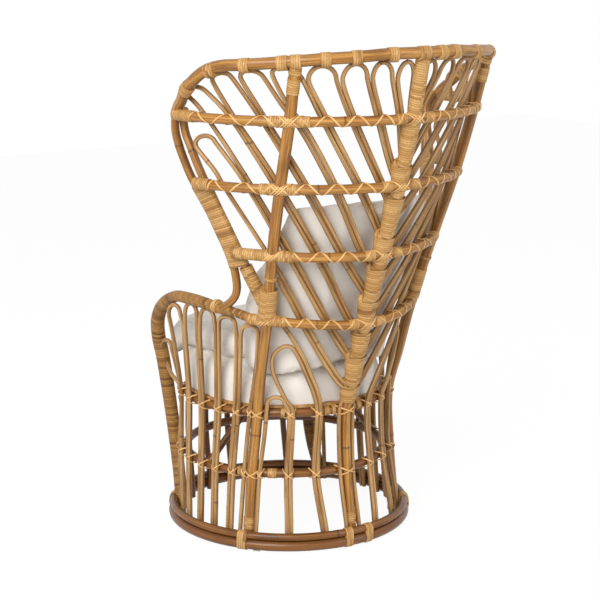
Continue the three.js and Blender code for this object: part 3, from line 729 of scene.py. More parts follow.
@dataclass(frozen=True)
class FabricFinish:
    """Washed off-white cotton with a plain weave, small slubs and soft creases."""

    name: str = "washed_cotton"
    light: Row = (0.81, 0.765, 0.70)
    shade: Row = (0.71, 0.665, 0.60)
    thread: float = 0.0016

    def material(self) -> bpy.types.Material:
        """Makes the material.

        Returns:
            The finish as a material.
        """
        g = Graph(self.name)
        place = g.node("ShaderNodeTexCoord").outputs["Object"]
        soft = g.node("ShaderNodeTexNoise")
        soft.inputs["Scale"].default_value = 9.0
        soft.inputs["Detail"].default_value = 3.0
        slub = g.node("ShaderNodeTexNoise")
        slub.inputs["Scale"].default_value = 210.0
        slub.inputs["Detail"].default_value = 2.0
        for made in (soft, slub):
            g.tree.links.new(place, made.inputs["Vector"])
        parts = g.node("ShaderNodeSeparateXYZ", in_0=place)
        threads = [g.maths("SINE", g.maths("MULTIPLY", parts.outputs[k], 2 * math.pi / self.thread))
                   for k in range(3)]
        weave = g.maths("ADD", g.maths("MULTIPLY", threads[0], threads[2]),
                        g.maths("MULTIPLY", threads[1], threads[2]))
        colour = g.blend(g.band(soft.outputs[0], 0.3, 0.75), self.light, self.shade)
        colour = g.blend(g.band(slub.outputs[0], 0.55, 0.8, 0.0, 0.35), colour, self.shade)
        g.link(colour, "Base Color")
        g.shader.inputs["Roughness"].default_value = 0.95
        g.shader.inputs["Sheen Weight"].default_value = 0.12
        g.bump(g.maths("ADD", g.maths("MULTIPLY", weave, 0.25), slub.outputs[0]), 0.35, 0.0009)
        return g.material


@dataclass(frozen=True)
class PlasticFinish:
    """Pale moulded plastic, faintly mottled."""

    name: str = "glide_plastic"
    colour: Row = (0.72, 0.72, 0.70)

    def material(self) -> bpy.types.Material:
        """Makes the material.

        Returns:
            The finish as a material.
        """
        g = Graph(self.name)
        place = g.node("ShaderNodeTexCoord").outputs["Object"]
        speck = g.node("ShaderNodeTexNoise")
        speck.inputs["Scale"].default_value = 260.0
        g.tree.links.new(place, speck.inputs["Vector"])
        worn = tuple(0.8 * value for value in self.colour)
        g.link(g.blend(g.band(speck.outputs[0], 0.4, 0.7), self.colour, worn), "Base Color")
        g.link(g.band(speck.outputs[0], 0.3, 0.7, 0.3, 0.5), "Roughness")
        return g.material


class Finishes:
    """All of the chair's materials, each made once."""

    def __init__(self) -> None:
        """Makes the materials."""
        self.pole = RattanFinish(
            "varnished_pole", light=(0.54, 0.265, 0.056), deep=(0.27, 0.106, 0.017),
            burnt_and_edge_shade=(0.08, 0.024, 0.004), gloss=0.22, rough=0.36).material()
        # Painted shade: a darker copy of the varnished pole finish for the parts under the seat, standing in
        # for the shade that falls there
        self.under_seat_shade = RattanFinish(
            "under_seat_shade_pole", light=(0.31, 0.122, 0.020), deep=(0.135, 0.044, 0.008), burnt_and_edge_shade=(0.040, 0.012, 0.003),
            gloss=0.22, rough=0.36).material()
        self.cane = RattanFinish(
            "satin_cane", light=(0.62, 0.39, 0.165), deep=(0.29, 0.135, 0.036), burnt_and_edge_shade=(0.10, 0.036, 0.008),
            gloss=0.12, rough=0.42).material()
        self.wound = WindingFinish(
            "wound_cane", light=(0.62, 0.375, 0.140), deep=(0.42, 0.21, 0.056), joint=(0.10, 0.034, 0.008),
            pitch=5.4, band_share=0.09).material()
        self.arm = WindingFinish(
            "wound_arm", light=(0.45, 0.24, 0.064), deep=(0.22, 0.096, 0.020), joint=(0.07, 0.022, 0.004),
            pitch=6.2, band_share=0.15).material()
        self.strip = RattanFinish(
            "lashing_strip", light=(0.84, 0.54, 0.235), deep=(0.68, 0.38, 0.125), burnt_and_edge_shade=(0.36, 0.16, 0.040),
            gloss=0.2, rough=0.45).material()
        self.fabric = FabricFinish().material()
        self.plastic = PlasticFinish().material()


# Base and seat


@dataclass
class BaseAndSeat:
    """The base ring, hoops, front poles, crossbar, struts, deck and glides."""

    shop: Workshop
    finishes: Finishes
    front_angles: tuple[float, ...] = (146.5, 164.0, 180.0, -164.0, -146.5)
    glide_angles: dict[str, float] = field(default_factory=lambda: {
        "rear_left": 50, "rear_right": -50, "front_left": 130, "front_right": -130})
    glide_radius: float = 9.0
    glide_height: float = 3.0
    crossbar_half: float = 241.0
    crossbar_set: float = 20.0
    strut_top: float = 113.0
    hoop_steps: int = 36
    hoop_spacing: float = 12
    strut_foot_rise: float = 7.0
    strut_foot_set: float = 2.0
    glide_round: float = 0.7
    deck_round: float = 1.5

    def hoop(self, reach: float, centre: float, height: float, radius: float) -> Run:
        """Lays out a closed pole ring.

        Args:
            reach: the ring's radius.
            centre: its place along Y.
            height: its height.
            radius: the pole's radius.

        Returns:
            The ring.
        """
        turns = np.arange(self.hoop_steps) / self.hoop_steps * 2 * np.pi
        points = np.stack([reach * np.sin(turns), centre + reach * np.cos(turns),
                           np.full(self.hoop_steps, height)], axis=1)
        return Run(points, radius, closed=True, spacing=self.hoop_spacing)

    def build(self) -> None:
        """Makes every piece under the cushions."""
        # The parts under the seat take the pole finish darkened with painted shade
        pole = self.finishes.under_seat_shade
        hoops = {
            "base_hoop_lower": self.hoop(S.base_reach, 0, S.lower_base_height, S.lower_base_radius),
            "base_hoop_upper": self.hoop(S.base_reach, 0, S.upper_base_height, S.upper_base_radius),
            "mid_hoop": self.hoop(S.mid_reach, -S.forward_shift, S.mid_height, S.hoop_radius),
            "seat_hoop": self.hoop(S.seat_reach, -S.forward_shift, S.seat_height, S.hoop_radius),
        }
        for node, run in hoops.items():
            self.shop.tubes(f"{node}_pole", [run], pole, "pole", (node,), detail=6)
        for number, angle in enumerate(self.front_angles, 1):
            heights = (S.foot_height, S.upper_base_height, S.mid_height, S.seat_height + S.hoop_radius)
            points = np.array([FRONT_WALL.place(angle, height) for height in heights])
            points[-1, 2] = heights[-1]
            self.shop.tubes(f"front_pole_{number}_cane", [Run(points, S.front_radius)], pole, "pole",
                            (f"front_pole_{number}",), detail=4)
        height = S.seat_height + S.hoop_radius - S.strut_radius
        ends = np.array([[-self.crossbar_half, self.crossbar_set, height],
                         [self.crossbar_half, self.crossbar_set, height]])
        self.shop.tubes("seat_crossbar_pole", [Run(ends, S.strut_radius, facing=Facing.UP)], pole, "pole",
                        ("seat_crossbar",), detail=4)
        for hand in Hand:
            strut = hand.turned([
                [S.mid_reach - self.strut_foot_set, self.crossbar_set, S.mid_height + self.strut_foot_rise],
                [self.strut_top, self.crossbar_set, height]])
            self.shop.tubes(f"seat_strut_{hand.word}_pole", [Run(strut, S.strut_radius, facing=Facing.UP)],
                            pole, "pole", (f"seat_strut_{hand.word}",), detail=4)
        self.glides()
        self.deck()

    def glides(self) -> None:
        """Makes the four cups under the base ring."""
        for name, angle in self.glide_angles.items():
            self.shop.deselect()
            turn = math.radians(angle)
            place = (S.base_reach * math.sin(turn) * MM,
                     (S.base_reach * math.cos(turn) + FOOTPRINT_SHIFT) * MM,
                     self.glide_height / 2 * MM)
            bpy.ops.mesh.primitive_cylinder_add(vertices=24, radius=self.glide_radius * MM,
                                                depth=self.glide_height * MM, location=place)
            piece = bpy.context.object
            piece.name = f"glide_{name}_cup"
            bpy.ops.object.mode_set(mode="EDIT")
            bpy.ops.mesh.select_all(action="SELECT")
            bpy.ops.mesh.bevel(offset=self.glide_round * MM, segments=2)
            bpy.ops.object.mode_set(mode="OBJECT")
            bpy.ops.object.transform_apply(location=True, rotation=True, scale=True)
            bpy.ops.object.shade_smooth_by_angle(angle=math.radians(40))
            self.shop.finish(piece, self.finishes.plastic, "glide", (f"glide_{name}",))

    def deck(self) -> None:
        """Makes the round seat deck: a rounded board with a woven cane finish."""
        self.shop.deselect()
        low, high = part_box("seat_deck")
        middle = (np.array(low) + np.array(high)) / 2
        bpy.ops.mesh.primitive_cylinder_add(vertices=96, radius=(high[0] - low[0]) / 2,
                                            depth=high[2] - low[2], location=tuple(middle))
        piece = bpy.context.object
        piece.name = "seat_deck_board"
        bpy.ops.object.mode_set(mode="EDIT")
        bpy.ops.mesh.select_all(action="SELECT")
        bpy.ops.mesh.bevel(offset=self.deck_round * MM, segments=3)
        bpy.ops.object.mode_set(mode="OBJECT")
        bpy.ops.object.transform_apply(location=True, rotation=True, scale=True)
        bpy.ops.object.shade_smooth_by_angle(angle=math.radians(40))
        self.shop.finish(piece, self.deck_material(), "cane", ("seat_deck",))

    def deck_material(self) -> bpy.types.Material:
        """Makes the finish of cane slats that lie over and under.

        Returns:
            The finish as a material.
        """
        g = Graph("woven_deck")
        place = g.node("ShaderNodeTexCoord").outputs["Object"]
        check = g.node("ShaderNodeTexChecker")
        check.inputs["Scale"].default_value = 70.0
        grain = g.node("ShaderNodeTexNoise")
        grain.inputs["Scale"].default_value = 60.0
        for made in (check, grain):
            g.tree.links.new(place, made.inputs["Vector"])
        check.inputs[1].default_value = (0.50, 0.27, 0.09, 1)
        check.inputs[2].default_value = (0.38, 0.18, 0.05, 1)
        worn = g.band(grain.outputs[0], 0.4, 0.7, 0.0, 0.5)
        g.link(g.blend(worn, check.outputs[0], (0.25, 0.11, 0.03)), "Base Color")
        g.link(g.band(grain.outputs[0], 0.3, 0.7, 0.45, 0.65), "Roughness")
        g.bump(check.outputs[1], 0.5, 0.0012)
        return g.material


# Back frame: rim, rails, posts, wings and spine


@dataclass
class BackFrame:
    """The rim, the rails, the posts, the wings and the wound spine."""

    shop: Workshop
    finishes: Finishes
    rail_ends: dict[str, float] = field(default_factory=lambda: {
        "rail_1": 88.4, "rail_2": 80.7, "rail_3": 65.5, "rail_4": 57})
    rail_sag: dict[str, float] = field(default_factory=lambda: {
        "rail_1": 0, "rail_2": 0, "rail_3": 0, "rail_4": 5})
    rail_rise: dict[str, float] = field(default_factory=lambda: {
        "rail_1": 0, "rail_2": 0, "rail_3": 7, "rail_4": 18})
    rim_shares: tuple[Row, ...] = (
        (0, 1), (11.6, 1), (21.8, 0.996), (31.3, 0.993), (39.3, 0.989), (54.9, 0.981), (63.1, 0.977),
        (69.1, 0.9655), (74.4, 0.9454), (79.3, 0.9276), (83.6, 0.9067), (87.2, 0.8917), (89.2, 0.878),
    )
    post_shares: tuple[Row, ...] = (
        (56.6, 0.0057), (55.9, 0.0317), (51.6, 0.149), (48.6, 0.275), (49.1, 0.364), (48.8, 0.468),
        (47.3, 0.632), (45.2, 0.752), (42.9, 0.877), (41, 0.945), (39.9, 0.984),
    )
    spine_shares: tuple[float, ...] = (0.0057, 0.0317, 0.149, 0.275, 0.37, 0.468, 0.609, 0.748, 0.878, 0.995)
    wing_outer_shares: tuple[Row, ...] = (
        (88.2, 0.888, 0.2), (89.2, 0.886, 0.2), (90.5, 0.8695, 0.2), (91.3, 0.845, 0.2), (90.8, 0.82, 0.3),
        (89, 0.787, 0.5), (86.1, 0.753, 0.7), (79, 0.7, 0.9), (71.3, 0.63, 0.9), (68.8, 0.604, 0.9),
        (67, 0.579, 0.9), (66, 0.556, 0.9), (65.7, 0.538, 0.9), (66.6, 0.522, 0.9), (69, 0.5085, 0.9),
    )
    wing_landing_shares: tuple[Row, ...] = ((0.925, 0.421, 0.997), (0.935, 0.36, 0.98))
    wing_inner_shares: tuple[Row, ...] = (
        (88.6, 0.886, 1.3), (90.6, 0.861, 1.3), (89.6, 0.8355, 1.25), (87.3, 0.817, 1.2), (84.2, 0.789, 1.1),
        (79, 0.745, 1), (73, 0.69, 0.95), (70.1, 0.6645, 0.95), (65.6, 0.622, 0.95), (61.3, 0.5865, 0.95),
        (57.6, 0.5568, 0.95), (54, 0.53, 0.95), (50.8, 0.502, 0.95),
    )
    shelf_shares: tuple[Row, ...] = (
        (0.332, 1.12, 0.79), (0.394, 1.15, 0.77), (0.448, 1.12, 0.77), (0.514, 1.13, 0.77),
        (0.582, 1.12, 0.77), (0.647, 1.11, 0.76), (0.727, 1.09, 0.76), (0.789, 1.06, 0.74),
    )
    binding_foot: Row = (0.293, 0.84)
    binding_head: tuple[Row, ...] = ((0.866, 0.96), (0.89, 0.74), (0.99, 0.78))
    spine_cane_shares: tuple[Row, ...] = (
        (3.9, 0.0057), (3.9, 0.0317), (4.1, 0.149), (4.1, 0.279), (3, 0.305))
    binding_width: float = 50.0
    binding_depth: float = 38.6
    binding_inset: float = 4.5
    binding_flare: float = 1.35
    binding_swell: float = 0.865
    binding_lean: float = 15.0
    shelf_edge: float = 0.006
    shelf_edge_narrowing: float = 0.03
    shelf_step: float = 0.0015
    winding_spacing: float = 1.35
    winding_ridge: float = 1.1

    def rail_point(self, name: str, angle: float) -> Points:
        """Finds the place on a rail's middle line at an angle.

        Args:
            name: the rail.
            angle: degrees from the rear towards the left.

        Returns:
            The place.
        """
        height, centre, reach = RAIL_ROWS[name]
        reach += S.rail_set
        turn = math.radians(angle)
        share = angle / self.rail_ends[name]
        lift = self.rail_rise[name] * math.sin(math.pi / 2 * share) ** 2 - self.rail_sag[name]
        return np.array([reach * math.sin(turn), centre + reach * math.cos(turn), height + lift])

    def rail_points(self, name: str, start: float, end: float, count: int = 29) -> Points:
        """Returns places along a rail between two angles."""
        return np.array([self.rail_point(name, angle) for angle in np.linspace(start, end, count)])

    def rim_points(self) -> Points:
        """Returns the rim's line from the right wing to the left."""
        half = on_wall(RIM_WALL, list(self.rim_shares))
        return np.vstack([Hand.RIGHT.turned(half[:0:-1]), half])

    def wing_points(self, shares: tuple[Row, ...]) -> Points:
        """Returns a wing pole's line on the left."""
        return np.array([POST_WALL.place(angle, share * S.back_height, inset * S.wing_set)
                         for angle, share, inset in shares])

    def outer_wing(self) -> Points:
        """Returns the outer wing pole's line, down to the arm."""
        return np.vstack([self.wing_points(self.wing_outer_shares),
                          arm_place(list(self.wing_landing_shares))])

    def build(self) -> None:
        """Makes the poles of the back."""
        pole = self.finishes.pole
        self.shop.tubes("rim_round_pole", [Run(self.rim_points(), S.rim_radius)], pole, "pole",
                        ("rim_pole",), detail=6)
        for name, end in self.rail_ends.items():
            self.shop.tubes(f"{name}_pole", [Run(self.rail_points(name, end, -end), S.rail_radius)], pole,
                            "pole", (name,), detail=6)
        spine = np.array([SPINE_WALL.place(0, share * S.back_height) for share in self.spine_shares])
        self.shop.tubes("spine_post_pole", [Run(spine, S.spine_radius)], pole, "pole", ("spine_post",),
                        detail=6)
        for hand in Hand:
            post = hand.turned(on_wall(POST_WALL, list(self.post_shares)))
            self.shop.tubes(f"rear_post_{hand.word}_pole", [Run(post, S.post_radius)], pole, "pole",
                            (f"rear_post_{hand.word}",), detail=6)
            outer = hand.turned(self.outer_wing())
            self.shop.tubes(f"wing_outer_{hand.word}_pole", [Run(outer, S.wing_radius)], pole, "pole",
                            (f"wing_outer_pole_{hand.word}",), detail=5)
            inner = hand.turned(self.wing_points(self.wing_inner_shares))
            self.shop.tubes(f"wing_inner_{hand.word}_pole", [Run(inner, S.wing_radius)], pole, "pole",
                            (f"wing_inner_pole_{hand.word}",), detail=5)
        self.spine_sleeve()

    def spine_sleeve(self) -> None:
        """Makes the winding round the spine, wider under each place where canes go in."""
        rows = [self.binding_foot]
        for share, broad, slim in self.shelf_shares:
            rows += [(share - self.shelf_edge, broad - self.shelf_edge_narrowing), (share, broad),
                     (share + self.shelf_step, slim)]
        rows += self.binding_head
        over = np.array([broad - 1 for _, broad in rows])
        insets = self.binding_inset + over * self.binding_lean
        middle = np.array([SPINE_WALL.place(0, share * S.back_height, inset)
                           for (share, _), inset in zip(rows, insets)])
        width = self.binding_width / 2 * (1 + over * self.binding_flare)
        depth = self.binding_depth / 2 * (1 + over * self.binding_swell)
        sleeve = Run(middle, depth, width, spacing=self.winding_spacing, ridge=self.winding_ridge,
                     knots=False)
        self.shop.tubes("spine_winding", [sleeve], self.finishes.wound, "wrap", ("spine_wrap",), detail=9)
        beside = on_wall(CANE_WALL, list(self.spine_cane_shares))
        canes = [Run(hand.turned(beside), S.cane_radius) for hand in Hand]
        self.shop.tubes("spine_foot_canes", canes, self.finishes.cane, "cane")


# Canes


@dataclass
class CaneLoops:
    """The cane loops of the back and under the arms."""

    shop: Workshop
    finishes: Finishes
    pairs: dict[str, list[Row]] = field(default_factory=lambda: {
        "alpha": [(0.4, 0.812), (3.7, 0.882)],
        "beta": [(0.3, 0.757), (4.2, 0.796), (12.1, 0.883)],
        "gamma": [(0, 0.692), (1, 0.717), (6.8, 0.756), (22, 0.886)],
        "delta": [(0, 0.643), (1, 0.652), (13.1, 0.732), (32.3, 0.891)],
        "epsilon": [(0, 0.569), (8, 0.614), (23.4, 0.735), (38.5, 0.862), (44.5, 0.907)],
        "zeta": [(0, 0.518), (14.3, 0.592), (34.2, 0.735), (54.3, 0.897)],
        "eta": [(0, 0.435), (8.7, 0.48), (26, 0.594), (49, 0.767), (65.8, 0.893)],
        "theta": [(0.2, 0.374), (5.5, 0.399), (16.3, 0.454), (38.1, 0.595), (60.7, 0.768)],
        "iota": [(0.5, 0.318), (7.7, 0.342), (29.1, 0.458), (37.7, 0.518)],
        "inner": [(0, 0.86), (0.4, 0.912)],
    })
    stands: dict[str, list[Row]] = field(default_factory=lambda: {
        "pair_a": [(35, 0.0057), (34.6, 0.0317), (32.5, 0.149), (31.25, 0.279)],
        "pair_b": [(16, 0.0057), (16.2, 0.0317), (18, 0.149), (16.25, 0.279), (19.85, 0.322), (24.5, 0.3575),
                   (29, 0.391)],
        "beside": [(52.3, 0.0057), (51.6, 0.0317), (47.5, 0.149), (44.9, 0.232)],
    })
    highs: dict[str, list[Row]] = field(default_factory=lambda: {
        "theta": [(78.9, 0.891)],
        "iota": [(46.1, 0.577), (70.5, 0.743), (74, 0.769)],
        "kappa": [(36.4, 0.441), (45.7, 0.491)],
        "pair_a": [(31.9, 0.286), (35.3, 0.3015), (38.8, 0.324), (42.2, 0.347), (44.4, 0.366)],
    })
    arches: dict[int, list[Row]] = field(default_factory=lambda: {
        1: [(82.4, 0.915), (78.6, 0.933), (72.6, 0.925)], 2: [(68.6, 0.947), (65.3, 0.9625), (61.1, 0.957)],
        3: [(57.9, 0.9545), (54.8, 0.97), (50.3, 0.9585)], 4: [(47.2, 0.959), (44.2, 0.977), (38.5, 0.959)],
        5: [(36.3, 0.9545), (31.8, 0.98), (27.6, 0.9535)],
        6: [(25.7, 0.9535), (21.8, 0.983), (17.8, 0.956)],
        7: [(16, 0.956), (13, 0.985), (9.3, 0.9545)], 8: [(7.3, 0.9545), (4.6, 0.984), (1.4, 0.953)],
        9: [(82.6, 0.8175), (78.4, 0.839), (72.3, 0.83)], 10: [(49.3, 0.54), (47, 0.562), (43.5, 0.549)],
        11: [(44.5, 0.3895), (39.35, 0.4205), (33.3, 0.4045)],
        12: [(44.1, 0.299), (39.9, 0.312), (35.1, 0.2995)],
    })
    arm_feet: dict[int, Row] = field(default_factory=lambda: {
        0: (124.5, 122.5, 123), 1: (109.5, 110.75, 115), 2: (99.25, 97.25, 97.75), 3: (87.5, 84.5, 84.5),
        4: (76.75, 73.75, 72.25), 5: (66.75, 63, 60.5), 6: (60.7, 55.9, 52.9),
    })
    arm_rises: dict[int, list[Row]] = field(default_factory=lambda: {
        0: [(0.82, -0.692, 0.6), (0.85, -0.75, 0.665)],
        1: [(0.9555, -0.4, 0.755), (1.003, -0.3805, 0.848)],
        2: [(0.965, -0.1955, 0.783), (0.9785, -0.191, 0.865)],
        3: [(0.9535, 0.0135, 0.8025), (0.9605, 0.018, 0.865)],
        4: [(0.891, 0.2115, 0.8155), (0.9, 0.2265, 0.865)],
        5: [(0.8515, 0.4815, 0.8155), (0.8605, 0.499, 0.865)],
        6: [(0.791, 0.67, 0.783), (0.788, 0.683, 0.865)],
    })
    arm_arches: dict[int, list[Row]] = field(default_factory=lambda: {
        0: [(0.879, -0.7395, 0.715), (0.9375, -0.5675, 0.765), (0.96, -0.444, 0.7435)],
        1: [(1.03, -0.363, 0.899), (1.0205, -0.2875, 0.9445), (1.0035, -0.2115, 0.9105)],
        2: [(0.9805, -0.171, 0.9125), (0.976, -0.084, 0.965), (0.9645, -0.002, 0.926)],
        3: [(0.956, 0.0415, 0.917), (0.942, 0.136, 0.959), (0.9245, 0.2175, 0.918)],
        4: [(0.9075, 0.267, 0.9135), (0.903, 0.3875, 0.946), (0.8865, 0.4855, 0.9235)],
        5: [(0.8625, 0.5455, 0.899), (0.835, 0.6295, 0.927), (0.789, 0.686, 0.903)],
    })
    low_rise: list[Row] = field(default_factory=lambda: [(0.9395, -0.4165, 0.69)])
    front_tie: list[Row] = field(default_factory=lambda: [(122.9, 0.254), (118.6, 0.256), (114.4, 0.254)])
    low_arch_cut: int = 8

    def line(self, name: str) -> list[Row]:
        """Returns a pair's whole line on the back."""
        return self.pairs[name] + self.highs.get(name, [])

    def leg(self, rows: list[Row], side: int, sunk: bool = False) -> Points:
        """Lays out one leg of a loop beside a pair's line.

        Args:
            rows: the line, as angles and shares of the back's height.
            side: 1 outwards, -1 towards the spine, 0 on the line.
            sunk: whether its foot goes into the spine's winding.

        Returns:
            The leg, from its foot.
        """
        flat = []
        for angle, share in rows:
            height = share * S.back_height
            flat.append([CANE_WALL.circle(height)[1] * math.radians(angle), height])
        flat = np.array(flat)
        points = []
        for step, place in enumerate(flat):
            way = flat[min(step + 1, len(flat) - 1)] - flat[max(step - 1, 0)]
            way = way / np.linalg.norm(way) * side * S.pair_gap
            across, height = place[0] + way[1], place[1] - way[0]
            reach = CANE_WALL.circle(height)[1]
            inset = -S.sink if sunk and step == 0 else 0.0
            points.append(CANE_WALL.place(math.degrees(across / reach), height, inset))
        return np.array(points)

    @staticmethod
    def arch(places: Points) -> Points:
        """Lays out a round arch.

        Args:
            places: a shoulder, the crown and the other shoulder.

        Returns:
            The arch, as ARCH_POINTS places.
        """
        middle = (places[0] + places[2]) / 2
        turns = np.linspace(0, np.pi, ARCH_POINTS)[:, None]
        return middle + np.cos(turns) * (places[0] - middle) + np.sin(turns) * (places[1] - middle)

    def loop(self, number: int, outer: Points, inner: Points, cut: int = ARCH_POINTS) -> Points:
        """Lays out a whole loop of the back.

        Args:
            number: the loop.
            outer: its outer leg, from the foot.
            inner: its inner leg, from the foot.
            cut: how many places of its arch are used, from the outer shoulder.

        Returns:
            The loop, from foot to foot.
        """
        top = self.arch(on_wall(CANE_WALL, self.arches[number]))[:cut]
        return np.vstack([outer, top, inner[::-1]])

    def sunk(self, name: str, side: int) -> Points:
        """Returns a leg on the lower part of a pair's line, its foot in the spine's winding."""
        return self.leg(self.pairs[name], side, True)

    def long(self, name: str, side: int) -> Points:
        """Returns a leg on a pair's whole line, its foot in the spine's winding."""
        return self.leg(self.line(name), side, True)

    def back_loops(self) -> dict[int, Points]:
        """Lays out the ten loops of the left half of the back.

        Returns:
            The loops by number.
        """
        sunk, long = self.sunk, self.long
        legs = {
            1: (long("theta", -1), sunk("eta", 1)), 2: (sunk("eta", -1), sunk("zeta", 1)),
            3: (sunk("zeta", -1), sunk("epsilon", 1)), 4: (sunk("epsilon", -1), sunk("delta", 1)),
            5: (sunk("delta", -1), sunk("gamma", 1)), 6: (sunk("gamma", -1), sunk("beta", 1)),
            7: (sunk("beta", -1), sunk("alpha", 1)), 8: (sunk("alpha", -1), sunk("inner", 0)),
            9: (long("iota", -1), sunk("theta", 1)),
            10: (np.vstack([self.leg(self.stands["pair_b"], -1), self.leg(self.highs["kappa"], 0)]),
                 sunk("iota", 1)),
        }
        return {number: self.loop(number, *both) for number, both in legs.items()}

    def low_loops(self) -> list[Points]:
        """Lays out the two low loops beside the post.

        Returns:
            The upper loop and the lower one.
        """
        return [
            self.loop(11, self.leg(self.stands["pair_a"] + self.highs["pair_a"], -1),
                      self.leg(self.stands["pair_b"], 1), self.low_arch_cut),
            self.loop(12, self.leg(self.stands["beside"], 0), self.leg(self.stands["pair_a"], 1)),
        ]

    def arm_leg(self, number: int, side: int, rises: list[Row]) -> Points:
        """Lays out one leg under an arm.

        Args:
            number: the pair, from the front.
            side: 1 towards the rear, -1 towards the front, 0 on the pair's line.
            rises: its places above the seat, as shares of the arm.

        Returns:
            The leg, from its foot.
        """
        heights = (S.foot_height, S.mid_height, S.seat_height)
        line = [CANE_WALL.place(angle, height) for angle, height in zip(self.arm_feet[number], heights)]
        line = np.vstack([line, arm_place(rises)])
        away = unit(np.stack([-(line[:, 1] + S.forward_shift), line[:, 0], np.zeros(len(line))], axis=1))
        return line + away * side * S.pair_gap

    def arm_loop(self, number: int) -> Points:
        """Lays out one loop under the left arm.

        Args:
            number: the loop, from the front.

        Returns:
            The loop, from foot to foot.
        """
        rear = number + 1
        front = self.arm_leg(number, 0 if number == 0 else 1, self.arm_rises[number])
        rises = self.low_rise if number == 0 else self.arm_rises[rear]
        back = self.arm_leg(rear, 0 if rear == 6 else -1, rises)
        return np.vstack([front, self.arch(arm_place(self.arm_arches[number])), back[::-1]])

    def build(self) -> None:
        """Makes every cane loop."""
        cane = self.finishes.cane
        for hand in Hand:
            for number, points in self.back_loops().items():
                name = f"back_loop_{number}_{hand.word}"
                self.shop.tubes(f"{name}_cane", [Run(hand.turned(points), S.cane_radius)], cane, "cane",
                                (name,))
            runs = [Run(hand.turned(points), S.cane_radius) for points in self.low_loops()]
            self.shop.tubes(f"low_loops_{hand.word}_canes", runs, cane, "cane", (f"low_loops_{hand.word}",))
            runs = [Run(hand.turned(self.arm_loop(number)), S.cane_radius) for number in range(6)]
            runs.append(Run(hand.turned(on_wall(CANE_WALL, self.front_tie)), S.cane_radius))
            self.shop.tubes(f"arm_loops_{hand.word}_canes", runs, cane, "cane", (f"arm_loops_{hand.word}",))


# Arms


@dataclass
class Arms:
    """The wound arm poles."""

    shop: Workshop
    finishes: Finishes
    shares: tuple[Row, ...] = (
        (0.861, 0.684, 0.963, 0.63), (0.905, 0.526, 0.974, 0.62), (0.931, 0.351, 0.974, 0.7),
        (0.955, 0.168, 0.981, 0.78), (0.979, 0.028, 0.985, 0.83), (0.996, -0.105, 0.986, 0.82),
        (1, -0.249, 0.982, 0.78), (0.987, -0.375, 0.964, 0.82), (0.978, -0.488, 0.94, 0.88),
        (0.948, -0.649, 0.888, 0.96), (0.922, -0.744, 0.825, 1), (0.889, -0.782, 0.75, 1),
        (0.852, -0.786, 0.677, 1), (0.807, -0.779, 0.538, 0.98), (0.774, -0.77, 0.416, 0.95),
        (0.751, -0.754, 0.299, 0.93), (0.754, -0.695, 0.179, 0.91), (0.779, -0.618, 0.062, 0.9),
        (0.786, -0.604, 0.0115, 0.9),
    )

    spacing: float = 1.55
    ridge: float = 0.55
    pitch: float = 6.2

    def build(self) -> None:
        """Makes both arms, wound from end to end."""
        points = arm_place(list(self.shares))
        radii = np.array([row[3] for row in self.shares]) * S.arm_radius
        for hand in Hand:
            run = Run(hand.turned(points), radii, spacing=self.spacing, ridge=self.ridge, pitch=self.pitch,
                      knots=False)
            self.shop.tubes(f"arm_{hand.word}_winding", [run], self.finishes.arm, "wrap",
                            (f"arm_pole_{hand.word}",), detail=6)


# Lashings


